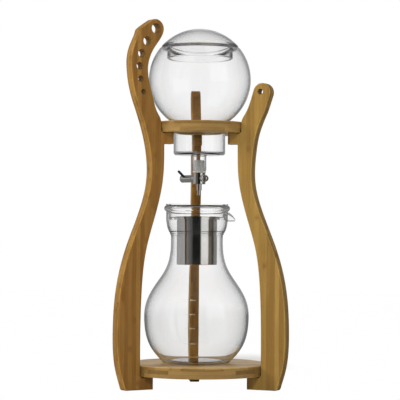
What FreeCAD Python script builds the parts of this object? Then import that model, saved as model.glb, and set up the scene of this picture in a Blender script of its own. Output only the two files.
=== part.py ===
import FreeCAD, Part
import os
from math import cos, pi, radians, sin, sqrt

import Sketcher
from FreeCAD import Placement, Rotation, Vector

# Cold drip coffee tower: three bamboo legs carry two round shelves. A water globe with a dripping tap
# sits in the upper shelf, and a carafe with a coffee filter in its mouth stands on the lower one.
# Frame: +Z up, origin on the ground on the tower's axis, front at -Y, millimetres.

doc = FreeCAD.newDocument("cold_drip_tower")

# ---------------------------------------------------------------------------------------------
# Driving dimensions
# ---------------------------------------------------------------------------------------------

SIZES = [
    # bamboo boards
    ("board", 12.0),               # thickness of the three leg boards
    ("shelf_board", 13.0),         # thickness of the two round shelves
    ("board_round", 1.5),          # rounding of the boards' edges
    ("cutter_over", 6.0),          # how far a cutter runs past the face that it cuts
    ("joint_gap", 0.5),            # gap between a shelf's rim and a leg's inner edge
    ("base_radius", 84.0),
    ("shelf_radius", 57.0),
    ("foot_height", 15.5),         # base lug, from the ground to the base shelf
    ("foot_reach", 17.8),          # base lug, inwards from the leg's inner edge
    ("shelf_lug_depth", 13.8),     # upper lug, below the upper shelf
    ("shelf_lug_reach", 17.5),
    ("relief_radius", 4.0),        # cutter relief in the corner above each lug
    ("relief_lift", 2.7),
    ("relief_bite", 0.6),
    # leg outline
    ("corner_radius", 2.0),        # inside corners of the board's outline
    ("foot_width", 21.5),          # outer edge at the ground, outwards from the base edge
    ("foot_round", 3.5),
    ("ankle_height", 22.0),
    ("ankle_width", 27.6),
    ("calf_width", 32.1),
    ("waist_width", 17.2),
    ("chest_rise", 9.0),           # stations above the upper shelf: rise, inner edge's way out, width
    ("chest_out", 4.9),
    ("chest_width", 23.9),
    ("shoulder_rise", 32.0),
    ("shoulder_out", 13.0),
    ("shoulder_width", 24.3),
    ("temple_rise", 60.0),
    ("temple_out", 18.9),
    ("temple_width", 23.6),
    ("brow_rise", 84.0),
    ("brow_out", 11.3),
    ("brow_width", 28.8),
    ("crown_rise", 102.0),
    ("crown_width", 32.2),
    ("tip_rise", 108.6),           # centre of the tall leg's rounded tip
    ("tip_out", 8.6),
    ("tip_radius", 11.3),
    ("top_rise", 33.8),            # centre of a short leg's rounded top
    ("top_out", 26.7),
    ("top_radius", 11.2),
    ("hole_rise", 33.0),           # lowest hole of the tall leg
    ("hole_pitch", 15.0),
    ("hole_smallest", 6.7),
    ("hole_step", 1.1),
    ("nape_rise", -11.0),          # a short leg's outer edge, from the upper shelf's top and edge
    ("nape_out", 21.0),
    ("cheek_rise", 8.0),
    ("cheek_out", 29.1),
    ("top_hole", 7.0),             # a short leg's one hole
    ("top_hole_rise", 34.8),
    ("top_hole_out", 25.0),
    # wood screws
    ("screw_circle", 73.0),        # base shelf's screws, from the axis
    ("shelf_screw_circle", 49.0),
    ("screw_radius", 1.9),
    ("screw_head", 4.0),
    ("screw_bite", 10.0),          # screw length inside the lug
    ("screw_clearance", 0.1),
    ("screw_sink", 0.3),
    ("cross_slot", 4.6),
    ("slot_width", 0.9),
    ("slot_depth", 1.3),
    # water globe and its lid
    ("globe_radius", 61.2),
    ("globe_wall", 2.2),
    ("neck_radius", 31.0),
    ("neck_clearance", 1.0),
    ("neck_drop", 38.8),           # from the upper shelf's top down to the neck's flat bottom
    ("neck_round", 3.0),
    ("hole_chamfer", 1.0),
    ("seat_gap", 0.3),
    ("stub_radius", 8.4),
    ("stub_length", 18.6),
    ("stub_wall", 1.9),
    ("mouth_land", 7.05),          # flat of the cut mouth, from its hole out to the ball's surface
    ("mouth_round", 6.0),
    ("mouth_edge", 0.88),          # rounding of the mouth's cut edges
    ("neck_inner_round", 1.9),
    ("stub_root", 1.52),           # fillet between the neck's bottom and the outlet stub
    ("lid_gap", 0.3),
    ("lid_wall", 2.2),
    ("plug_radius", 39.4),
    ("plug_clearance", 0.8),
    ("plug_depth", 14.0),
    ("plug_wall", 2.6),
    ("lid_edge", 0.88),            # rounding of the lid's rim
    ("lid_root", 1.1),             # fillet between the lid's rim and its plug wall
    ("plug_edge", 1.17),           # rounding of the plug wall's lower edges
    # tap
    ("bush_flange", 2.4),
    ("bush_flange_radius", 7.9),
    ("barb_radius", 3.4),
    ("barb_length", 15.0),
    ("barb_ridge", 0.5),
    ("barb_pitch", 2.5),
    ("tap_radius", 7.5),
    ("tap_height", 13.8),
    ("tap_round", 0.6),
    ("tap_angle", -48.0),          # direction of the key's nut end about the vertical
    ("cross_radius", 4.9),
    ("cross_front", 7.9),
    ("cross_back", 9.2),
    ("key_radius", 3.2),
    ("key_clearance", 0.05),
    ("stub_shaft", 1.6),
    ("water_bore", 1.2),
    ("washer_thickness", 0.8),
    ("washer_radius", 4.2),
    ("nut_radius", 4.1),
    ("nut_skirt", 1.2),
    ("part_gap", 0.1),             # axial play of the turning pieces
    ("key_insert", 6.0),           # length of the key held in the handle
    ("handle_radius", 4.55),
    ("handle_end", 29.4),          # outer end of the handle, from the axis
    ("handle_round", 1.2),
    ("lever_place", 22.6),         # lever's place along the handle, from the axis
    ("lever_radius", 1.1),
    ("lever_grip", 1.5),
    ("lever_length", 16.2),
    ("lever_lift", 35.0),          # lever's slope above the horizontal, at rest
    ("seal_section", 0.8),
    ("seal_proud", 0.03),          # how far a seal stands out of the key
    ("seal_place", 5.4),
    ("outlet_radius", 3.1),
    ("outlet_length", 7.2),
    ("spigot_radius", 2.0),
    ("spigot_length", 3.0),
    ("tip_tube_radius", 2.0),
    ("tip_length", 6.6),
    ("tip_bore", 0.8),
    ("drip_gap", 11.6),            # from the drip tip down to the carafe's rim
    # carafe
    ("carafe_height", 188.5),
    ("stand_gap", 0.1),            # between the base shelf and the carafe
    ("carafe_wall", 2.2),
    ("carafe_offset", -2.3),       # the loose carafe stands this far off the tower's axis
    ("carafe_foot", 37.0),
    ("hip_radius", 55.4),
    ("hip_height", 20.1),
    ("belly_radius", 62.4),
    ("belly_height", 48.0),
    ("crest_radius", 60.8),        # the belly's full upper part
    ("crest_height", 70.4),
    ("flank_radius", 50.3),
    ("flank_height", 92.0),
    ("throat_radius", 36.7),
    ("throat_height", 113.5),
    ("carafe_neck", 31.4),         # the rest is measured from the rim downwards
    ("carafe_neck_drop", 53.4),
    ("crease_radius", 31.2),
    ("crease_drop", 36.3),
    ("bulge_radius", 35.1),        # where the mouth swells out above the crease
    ("bulge_drop", 28.0),
    ("mouth_radius", 37.0),
    ("mouth_drop", 18.0),
    ("foot_corner", 5.0),          # height over which the bottom corner turns up
    ("corner_height", 2.75),
    ("punt", 1.6),                 # how far the bottom is pushed in at its middle
    ("punt_width", 8.0),           # width of the ring that it stands on
    ("rim_depth", 7.2),
    ("rim_radius", 39.5),
    ("beak_reach", 46.0),
    ("beak_drop", 18.3),           # beak's tip, below the carafe's rim
    ("beak_width", 13.0),
    ("beak_root_drop", 7.6),       # top of the beak's root, below the carafe's rim
    ("beak_root_height", 11.6),
    ("beak_wall", 1.54),
    ("beak_bury", 1.76),           # how far the beak's root reaches into the mouth's wall
    # filter
    ("holder_clearance", 0.4),
    ("holder_wall", 3.0),
    ("holder_depth", 17.1),        # holder, below the carafe's rim
    ("holder_taper", 0.8),
    ("holder_web", 3.2),
    ("holder_gap", 0.2),           # between the holder's flange and the carafe's rim
    ("holder_flange", 1.2),
    ("holder_lap", 37.4),          # radius of the flange that lies on the rim
    ("cup_radius", 24.1),
    ("cup_wall", 0.8),
    ("cup_lip", 27.0),
    ("cup_lip_thickness", 0.8),
    ("collar_height", 19.6),
    ("cup_height", 58.2),
    ("groove_height", 3.6),
    ("mesh_thickness", 0.6),
    ("mesh_hole", 1.6),
    ("mesh_pitch", 4.7),           # distance between rings of holes
    ("floor_lip", 2.0),
    ("plate_thickness", 0.8),
    ("plate_clearance", 0.3),
    ("plate_drop", 3.0),
    ("plate_ledge", 1.2),
    ("plate_hole", 2.0),
    ("plate_pitch", 4.6),
    ("plate_knob", 3.0),
    ("plate_knob_height", 3.0),
]

sheet = doc.addObject("Spreadsheet::Sheet", "Sizes")
for row, (alias, value) in enumerate(SIZES, start=1):
    sheet.set(f"A{row}", alias)
    sheet.set(f"B{row}", str(value))
    sheet.setAlias(f"B{row}", alias)
doc.recompute()

# Levels and radii that follow from the driving dimensions
LEVELS = [
    ("base_edge", "Sizes.base_radius + Sizes.joint_gap"),
    ("shelf_edge", "Sizes.shelf_radius + Sizes.joint_gap"),
    ("base_top", "Sizes.foot_height + Sizes.shelf_board"),
    ("rim_top", "base_top + Sizes.stand_gap + Sizes.carafe_height"),
    ("drip_tip_end", "rim_top + Sizes.drip_gap"),
    ("outlet_end", "drip_tip_end + Sizes.tip_length"),
    ("tap_bottom", "outlet_end + Sizes.outlet_length"),
    ("tap_centre", "tap_bottom + Sizes.tap_height / 2"),
    ("tap_top", "tap_bottom + Sizes.tap_height"),
    ("stub_end", "tap_top + Sizes.bush_flange"),
    ("neck_bottom", "stub_end + Sizes.stub_length"),
    ("shelf_top", "neck_bottom + Sizes.neck_drop"),
    ("shelf_bottom", "shelf_top - Sizes.shelf_board"),
    ("neck_hole", "Sizes.neck_radius + Sizes.neck_clearance"),
    ("seat_radius", "neck_hole + Sizes.hole_chamfer"),
    ("globe_centre", "shelf_top + sqrt(Sizes.globe_radius ^ 2 - seat_radius ^ 2) + Sizes.seat_gap"),
    ("globe_mouth", "Sizes.plug_radius + Sizes.plug_clearance"),
    ("mouth_rise", "sqrt(Sizes.globe_radius ^ 2 - (globe_mouth + Sizes.mouth_land) ^ 2)"),
    ("mouth_level", "globe_centre + mouth_rise"),
    ("lid_level", "mouth_level + Sizes.lid_gap"),
    ("stub_bore", "Sizes.stub_radius - Sizes.stub_wall"),
    ("holder_bottom", "rim_top - Sizes.holder_depth"),
    ("holder_radius", "Sizes.mouth_radius - Sizes.carafe_wall - Sizes.holder_clearance"),
    ("holder_hole", "Sizes.cup_radius + Sizes.holder_clearance"),
    ("holder_seat", "rim_top + Sizes.holder_gap"),
    ("holder_bore", "holder_radius - Sizes.holder_wall"),
    ("cup_top", "holder_bottom + Sizes.holder_web + Sizes.cup_lip_thickness"),
    ("collar_end", "cup_top - Sizes.collar_height"),
    ("cup_end", "cup_top - Sizes.cup_height"),
    ("cup_bore", "Sizes.cup_radius - Sizes.cup_wall"),
    ("plate_level", "cup_top - Sizes.plate_drop"),
]

levels = doc.addObject("Spreadsheet::Sheet", "Levels")
for row, (alias, formula) in enumerate(LEVELS, start=1):
    levels.set(f"A{row}", alias)
    levels.set(f"B{row}", "=" + formula)
    levels.setAlias(f"B{row}", alias)
doc.recompute()


def size(name):
    """A driving dimension or a level, as a number."""
    for source in (sheet, levels):
        if source.getCellFromAlias(name):
            return float(source.get(name))
    raise KeyError(name)


# ---------------------------------------------------------------------------------------------
# Helpers
# ---------------------------------------------------------------------------------------------

NODES = []
UP = Vector(0, 0, 1)
ORIGIN = Vector(0, 0, 0)
LEG_AZIMUTHS = {"tall_leg": 210.0, "right_leg": 330.0, "rear_leg": 90.0}
FULL_TURN = 360.0
SPARE_CELL = "D1"
MATCH = 0.01                       # two lengths this close are the same


def finished(item, label):
    """Label an object as a piece of the tower and list it for export."""
    item.Label = label
    NODES.append(item)
    return item


def bind(item, **formulas):
    """Bind an object's properties to formulas over the sheets."""
    for prop, formula in formulas.items():
        item.setExpression(prop, formula)
    return item


def new_body(name):
    return doc.addObject("PartDesign::Body", name)


def new_sketch(body, name, role, lift=None):
    """A sketch on one of the body's origin planes, lifted off it by a formula."""
    plane = next(f for f in body.Origin.OriginFeatures if f.Role == role)
    sketch = body.newObject("Sketcher::SketchObject", name)
    sketch.AttachmentSupport = [(plane, "")]
    sketch.MapMode = "FlatFace"
    if lift:
        sketch.setExpression("AttachmentOffset.Base.z", lift)
    return sketch


def add_circle(sketch, radius, x=None, y=None):
    """A circle whose radius and centre follow formulas; a missing place is on the axis."""
    index = sketch.addGeometry(Part.Circle(ORIGIN, UP, 1.0))
    rule = sketch.addConstraint(Sketcher.Constraint("Radius", index, 1.0))
    sketch.setExpression(f"Constraints[{rule}]", radius)
    for kind, axis, formula in (("DistanceX", -2, x), ("DistanceY", -1, y)):
        if formula is None:
            sketch.addConstraint(Sketcher.Constraint("PointOnObject", index, 3, axis))
            continue
        rule = sketch.addConstraint(Sketcher.Constraint(kind, -1, 1, index, 3, 1.0))
        sketch.setExpression(f"Constraints[{rule}]", formula)
    return index


def rim_edges(shape, radius, height=None):
    """Names of the circular edges of this radius, at this height if one is given."""
    names = []
    for number, edge in enumerate(shape.Edges, start=1):
        if edge.Degenerated or not isinstance(edge.Curve, Part.Circle):
            continue
        curve = edge.Curve
        if abs(curve.Radius - radius) > MATCH:
            continue
        if height is None or abs(curve.Center.z - height) < MATCH:
            names.append(f"Edge{number}")
    return names


def dress(body, kind, base, edges, **formulas):
    """A PartDesign fillet or chamfer on named edges."""
    feature = body.newObject(f"PartDesign::{kind}", f"{body.Name}_{kind}")
    feature.Base = (base, edges)
    bind(feature, **formulas)
    doc.recompute()
    return feature


def turned(label, outline):
    """A turned piece: a closed outline of (radius, height) formulas, revolved about the axis."""
    body = new_body(label)
    sketch = new_sketch(body, f"{label}_outline", "XZ_Plane")
    places = [Vector(evaluate(radius), evaluate(height), 0) for radius, height in outline]
    count = len(outline)
    for index in range(count):
        sketch.addGeometry(Part.LineSegment(places[index], places[(index + 1) % count]))
    for index, (radius, height) in enumerate(outline):
        sketch.addConstraint(Sketcher.Constraint("Coincident", (index - 1) % count, 2, index, 1))
        for kind, axis, formula, value in (
            ("DistanceX", -2, radius, places[index].x),
            ("DistanceY", -1, height, places[index].y),
        ):
            if value == 0:
                sketch.addConstraint(Sketcher.Constraint("PointOnObject", index, 1, axis))
                continue
            rule = sketch.addConstraint(Sketcher.Constraint(kind, -1, 1, index, 1, value))
            sketch.setExpression(f"Constraints[{rule}]", formula)
    turn = body.newObject("PartDesign::Revolution", f"{label}_turn")
    turn.Profile = sketch
    turn.ReferenceAxis = (sketch, ["V_Axis"])
    turn.Angle = FULL_TURN
    doc.recompute()
    return body


def evaluate(formula):
    """The value of a formula over the sheets, through a spare cell that is emptied again."""
    levels.set(SPARE_CELL, "=" + formula.replace("Levels.", ""))
    levels.recompute()
    value = float(levels.get(SPARE_CELL))
    levels.clear(SPARE_CELL)
    return value


def cylinder(name, radius, height, bottom):
    """An upright cylinder on the axis, all three sizes from formulas."""
    item = doc.addObject("Part::Cylinder", name)
    return bind(item, Radius=radius, Height=height, **{"Placement.Base.z": bottom})


def sphere(name, radius, centre):
    item = doc.addObject("Part::Sphere", name)
    return bind(item, Radius=radius, **{"Placement.Base.z": centre})


def fuse(name, *items):
    item = doc.addObject("Part::MultiFuse", name)
    item.Shapes = list(items)
    item.Refine = True
    doc.recompute()
    return item


def cut(name, base, tool):
    item = doc.addObject("Part::Cut", name)
    item.Base = base
    item.Tool = tool
    doc.recompute()
    return item


def common(name, *items):
    item = doc.addObject("Part::MultiCommon", name)
    item.Shapes = list(items)
    doc.recompute()
    return item


def rounded(name, base, *picks):
    """A Part fillet: each pick is a circular edge's radius and height, and the fillet's radius."""
    doc.recompute()
    edges = []
    for radius, height, fillet in picks:
        for edge in rim_edges(base.Shape, radius, height):
            edges.append((int(edge[4:]), fillet, fillet))
    item = doc.addObject("Part::Fillet", name)
    item.Base = base
    item.Edges = edges
    doc.recompute()
    return item


def feature(name, shape):
    """A piece whose shape is worked out in code from the sheet's sizes."""
    item = doc.addObject("Part::Feature", name)
    item.Shape = shape
    return item


def spline(points, start=None, end=None):
    """A smooth curve through (radius, height) points, with its end directions if given."""
    curve = Part.BSplineCurve()
    places = [Vector(x, y, 0) for x, y in points]
    if start and end:
        curve.interpolate(Points=places, InitialTangent=Vector(*start), FinalTangent=Vector(*end))
    else:
        curve.interpolate(Points=places)
    return curve


def line(first, second):
    return Part.LineSegment(Vector(*first, 0), Vector(*second, 0))


def arc(first, middle, last):
    return Part.Arc(Vector(*first, 0), Vector(*middle, 0), Vector(*last, 0))


# ---------------------------------------------------------------------------------------------
# Legs
# ---------------------------------------------------------------------------------------------

# Stations of a leg between its two lugs: height as a share of the way up to the upper lug, the
# inner edge's way in from the base edge (0) to the shelf edge (1), and the width between the
# waist's (0) and the calf's (1).
LOWER_STATIONS = [
    (0.242, 0.004, 0.987),
    (0.415, 0.067, 0.826),
    (0.57, 0.285, 0.4),
    (0.709, 0.737, 0.1),
    (0.847, 1.1, 0.0),
]
LUG_STATION = (0.975, 1.167, 0.228) # where the inner edge turns into the upper lug's underside
SHORT_LEAN = radians(19.0)         # the short leg's inner edge, off the vertical at its top
SHORT_SLOPE = radians(-19.0)       # its outer edge there
TIP_LEAN = radians(-15.0)          # the tall leg's inner edge, off the vertical at its tip
TIP_SLOPE = radians(57.0)          # its outer edge there
SIDE_HOLE_COUNT = 5                # holes along the tall leg, below the one in its tip
EDGE_START = 1.5                   # straight stretch of the inner edge above the base shelf
FOOT_LEAN = radians(17.0)          # the outer edge at the ground, off the vertical
VERTICAL = (0.0, 1.0, 0.0)


def corner(edge, level, radius, upwards):
    """Quarter arc of an inside corner between an upright edge and a level one to its left."""
    turn = radius * (1 - sqrt(0.5))
    points = [
        (edge, level + upwards * radius),
        (edge - turn, level + upwards * turn),
        (edge - radius, level),
    ]
    return arc(*(points if upwards < 0 else points[::-1]))


def leg_station(share, inward, width_share):
    """Inner and outer point of a leg's edges at one of the stations between the lugs."""
    height = (size("shelf_bottom") - size("shelf_lug_depth")) * share
    inner = size("base_edge") + (size("shelf_edge") - size("base_edge")) * inward
    width = size("waist_width") + (size("calf_width") - size("waist_width")) * width_share
    return (inner, height), (inner + width, height)


def upper_station(name):
    """Inner and outer point of a leg's edges at a named station above the upper shelf."""
    inner = size("shelf_edge") + size(f"{name}_out")
    height = size("shelf_top") + size(f"{name}_rise")
    return (inner, height), (inner + size(f"{name}_width"), height)


def outer_station(name, way):
    """Point of a leg's outer edge above the upper shelf, measured from the shelf's edge."""
    return (size("shelf_edge") + size(f"{name}_{way}"), size("shelf_top") + size(f"{name}_rise"))


def leg_cap(tall):
    """The rounded top: its start, crest and end points, and the edges' directions there."""
    name = "tip" if tall else "top"
    lean, slope = (TIP_LEAN, TIP_SLOPE) if tall else (SHORT_LEAN, SHORT_SLOPE)
    radius = size(f"{name}_radius")
    x = size("shelf_edge") + size(f"{name}_out")
    y = size("shelf_top") + size(f"{name}_rise")
    points = (
        (x - radius * cos(lean), y + radius * sin(lean)),
        (x, y + radius),
        (x + radius * cos(slope), y + radius * sin(slope)),
    )
    return points, (sin(lean), cos(lean), 0.0), (-sin(slope), cos(slope), 0.0)


def foot_corner():
    """The rounding between a leg's leaning outer edge and the ground: its start, middle and end."""
    radius = size("foot_round")
    centre = size("base_edge") + size("foot_width") - radius * cos(FOOT_LEAN)
    return [
        (centre + radius * cos(angle), radius * (1 - sin(angle)))
        for angle in (FOOT_LEAN, (FOOT_LEAN + pi / 2) / 2, pi / 2)
    ]


def leg_curves(tall):
    """The leg's lower inner edge, upper inner edge, outer edge and the points of its top."""
    stations = [leg_station(*station) for station in LOWER_STATIONS]
    lug_inner, lug_outer = leg_station(*LUG_STATION)
    lug_bottom = size("shelf_bottom") - size("shelf_lug_depth")
    lug_turn = (lug_inner[0], lug_bottom - size("corner_radius"))
    foot = foot_corner()[0]
    ankle = (size("base_edge") + size("ankle_width"), size("ankle_height"))
    edge_start = (size("base_edge"), size("base_top") + EDGE_START)
    lower = spline([edge_start] + [inner for inner, _ in stations] + [lug_turn], VERTICAL, VERTICAL)
    above = [upper_station(name) for name in ("chest", "shoulder", "temple", "brow")]
    outer_above = [outer for _, outer in above] + [outer_station("crown", "width")]
    if not tall:
        above = above[:1]
        outer_above = [outer_station("nape", "out"), outer_station("cheek", "out")]
    cap, inner_end, outer_end = leg_cap(tall)
    upper_start = (size("shelf_edge"), size("shelf_top") - 2 * EDGE_START)
    upper = spline([upper_start] + [inner for inner, _ in above] + [cap[0]], VERTICAL, inner_end)
    outer_points = [foot, ankle] + [outer for _, outer in stations] + [lug_outer]
    outer_points += outer_above + [cap[2]]
    outer_start = (sin(FOOT_LEAN), cos(FOOT_LEAN), 0.0)
    return lower, upper, spline(outer_points, outer_start, outer_end), cap


def leg_outline(tall):
    """The closed outline of a leg, as curves in the (radius, height) plane."""
    lower, upper, outer, cap = leg_curves(tall)
    base_edge, shelf_edge = size("base_edge"), size("shelf_edge")
    foot_top, shelf_bottom = size("foot_height"), size("shelf_bottom")
    foot_end = base_edge - size("foot_reach")
    lug_end = shelf_edge - size("shelf_lug_reach")
    lug_bottom = shelf_bottom - size("shelf_lug_depth")
    inside, foot = size("corner_radius"), foot_corner()
    return [
        line((foot_end, 0.0), (foot_end, foot_top)),
        line((foot_end, foot_top), (base_edge - inside, foot_top)),
        corner(base_edge, foot_top, inside, 1),
        line((base_edge, foot_top + inside), (base_edge, lower.StartPoint.y)),
        lower,
        corner(lower.EndPoint.x, lug_bottom, inside, -1),
        line((lower.EndPoint.x - inside, lug_bottom), (lug_end, lug_bottom)),
        line((lug_end, lug_bottom), (lug_end, shelf_bottom)),
        line((lug_end, shelf_bottom), (shelf_edge - inside, shelf_bottom)),
        corner(shelf_edge, shelf_bottom, inside, 1),
        line((shelf_edge, shelf_bottom + inside), (shelf_edge, upper.StartPoint.y)),
        upper,
        arc(*cap),
        outer,
        arc(*foot),
        line((foot[2][0], 0.0), (foot_end, 0.0)),
    ]


def edge_radius(curve, height):
    """The radius at which an edge curve crosses a height."""
    level = Part.LineSegment(Vector(0, height, 0), Vector(2 * size("base_radius"), height, 0))
    return curve.intersect(level)[0].X


def leg_holes(tall):
    """The hanging holes of a leg, as (radius from the axis, height, hole radius)."""
    if not tall:
        place = (size("shelf_edge") + size("top_hole_out"), size("shelf_top") + size("top_hole_rise"))
        return [(place[0], place[1], size("top_hole") / 2)]
    upper_inner, outer_edge = leg_curves(tall)[1:3]
    holes = []
    for index in range(SIDE_HOLE_COUNT):
        height = size("shelf_top") + size("hole_rise") + size("hole_pitch") * index
        middle = (edge_radius(upper_inner, height) + edge_radius(outer_edge, height)) / 2
        holes.append((middle, height, (size("hole_smallest") + size("hole_step") * index) / 2))
    tip = (size("shelf_edge") + size("tip_out"), size("shelf_top") + size("tip_rise"))
    holes.append((tip[0], tip[1], (size("hole_smallest") + size("hole_step") * SIDE_HOLE_COUNT) / 2))
    return holes


def make_leg(label, tall):
    """A leg: padded outline, rounded edges, hanging holes and the two screw holes in its lugs."""
    body = new_body(label)
    sketch = new_sketch(body, f"{label}_outline", "XZ_Plane")
    for curve in leg_outline(tall):
        sketch.addGeometry(curve)
    pad = body.newObject("PartDesign::Pad", f"{label}_board")
    pad.Profile = sketch
    pad.SideType = "Symmetric"
    bind(pad, Length="Sizes.board")
    doc.recompute()
    half = size("board") / 2
    edges = []
    for number, edge in enumerate(pad.Shape.Edges, start=1):
        if abs(abs(edge.CenterOfMass.y) - half) < MATCH:
            edges.append(f"Edge{number}")
    dress(body, "Fillet", pad, edges, Radius="Sizes.board_round")
    holes = new_sketch(body, f"{label}_hole_centres", "XZ_Plane")
    for radius, height, hole in leg_holes(tall):
        holes.addGeometry(Part.Circle(Vector(radius, height, 0), UP, hole))
    add_circle(
        holes,
        "Sizes.relief_radius",
        x="Levels.base_edge + Sizes.relief_bite - Sizes.relief_radius",
        y="Sizes.foot_height + Sizes.relief_lift",
    )
    add_circle(
        holes,
        "Sizes.relief_radius",
        x="Levels.shelf_edge + Sizes.relief_bite - Sizes.relief_radius",
        y="Levels.shelf_bottom + Sizes.relief_lift",
    )
    pocket = body.newObject("PartDesign::Pocket", f"{label}_holes")
    pocket.Profile = holes
    pocket.SideType = "Symmetric"
    bind(pocket, Length="Sizes.board + Sizes.cutter_over")
    for name, circle, level in (
        ("foot_screw_hole", "Sizes.screw_circle", "Sizes.foot_height"),
        ("lug_screw_hole", "Sizes.shelf_screw_circle", "Levels.shelf_bottom"),
    ):
        pilot = new_sketch(body, f"{label}_{name}_centre", "XY_Plane", level)
        add_circle(pilot, "Sizes.screw_radius + Sizes.screw_clearance", x=circle)
        drilled = body.newObject("PartDesign::Pocket", f"{label}_{name}")
        drilled.Profile = pilot
        bind(drilled, Length="Sizes.screw_bite + Sizes.screw_clearance")
    doc.recompute()
    body.Placement = Placement(ORIGIN, Rotation(UP, LEG_AZIMUTHS[label]))
    return finished(body, label)


# ---------------------------------------------------------------------------------------------
# Shelves and screws
# ---------------------------------------------------------------------------------------------

COUNTERSINK = 90.0


def make_shelf(label, radius, level, circle, hole=None):
    """A round shelf with three countersunk screw holes and, if asked for, a hole for the neck."""
    body = new_body(label)
    sketch = new_sketch(body, f"{label}_outline", "XY_Plane")
    add_circle(sketch, radius)
    if hole:
        add_circle(sketch, hole)
    pad = body.newObject("PartDesign::Pad", f"{label}_board")
    pad.Profile = sketch
    bind(pad, Length="Sizes.shelf_board")
    doc.recompute()
    last = dress(body, "Fillet", pad, rim_edges(pad.Shape, evaluate(radius)), Radius="Sizes.board_round")
    if hole:
        inner = rim_edges(last.Shape, evaluate(hole))
        last = dress(body, "Chamfer", last, inner, Size="Sizes.hole_chamfer")
    centres = new_sketch(body, f"{label}_screw_centres", "XY_Plane", "Sizes.shelf_board")
    for azimuth in LEG_AZIMUTHS.values():
        add_circle(
            centres,
            "Sizes.screw_radius",
            x=f"{circle} * cos({azimuth} deg)",
            y=f"{circle} * sin({azimuth} deg)",
        )
    doc.recompute()
    drilled = body.newObject("PartDesign::Hole", f"{label}_screw_holes")
    drilled.Profile = centres
    drilled.DepthType = "ThroughAll"
    drilled.HoleCutType = "Countersink"
    drilled.HoleCutCustomValues = True
    bind(
        drilled,
        Diameter="(Sizes.screw_radius + Sizes.screw_clearance) * 2",
        HoleCutDiameter="(Sizes.screw_head + Sizes.screw_clearance + Sizes.screw_sink) * 2",
    )
    drilled.HoleCutCountersinkAngle = COUNTERSINK
    bind(body, **{"Placement.Base.z": level})
    doc.recompute()
    return finished(body, label)


def screw_shape():
    """A countersunk cross-slot wood screw, its head's top at the origin and its point downwards."""
    head, shank = size("screw_head"), size("screw_radius")
    sink = size("screw_sink")
    length = size("shelf_board") + size("screw_bite")
    point = length - 2 * shank
    outline = Part.makePolygon([
        Vector(0, 0, -sink),
        Vector(head, 0, -sink),
        Vector(shank, 0, -sink - (head - shank)),
        Vector(shank, 0, -point),
        Vector(0, 0, -length),
        Vector(0, 0, -sink),
    ])
    screw = Part.Face(outline).revolve(ORIGIN, UP, FULL_TURN)
    slot, width, depth = size("cross_slot"), size("slot_width"), size("slot_depth")
    for long, short in ((slot, width), (width, slot)):
        corner = Vector(-long / 2, -short / 2, -sink - depth)
        screw = screw.cut(Part.makeBox(long, short, depth + sink, corner))
    return screw


def make_screws(label, circle, level):
    """Three screws, one over each leg, as one group of separate solids."""
    screws = []
    for azimuth in LEG_AZIMUTHS.values():
        screw = screw_shape()
        place = Vector(size(circle) * cos(radians(azimuth)), size(circle) * sin(radians(azimuth)), 0)
        screw.Placement = Placement(place, Rotation(UP, azimuth))
        screws.append(screw)
    group = feature(label, Part.makeCompound(screws))
    group.Placement = Placement(Vector(0, 0, size(level)), Rotation())
    return finished(group, label)


# ---------------------------------------------------------------------------------------------
# Water globe and lid
# ---------------------------------------------------------------------------------------------

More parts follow.
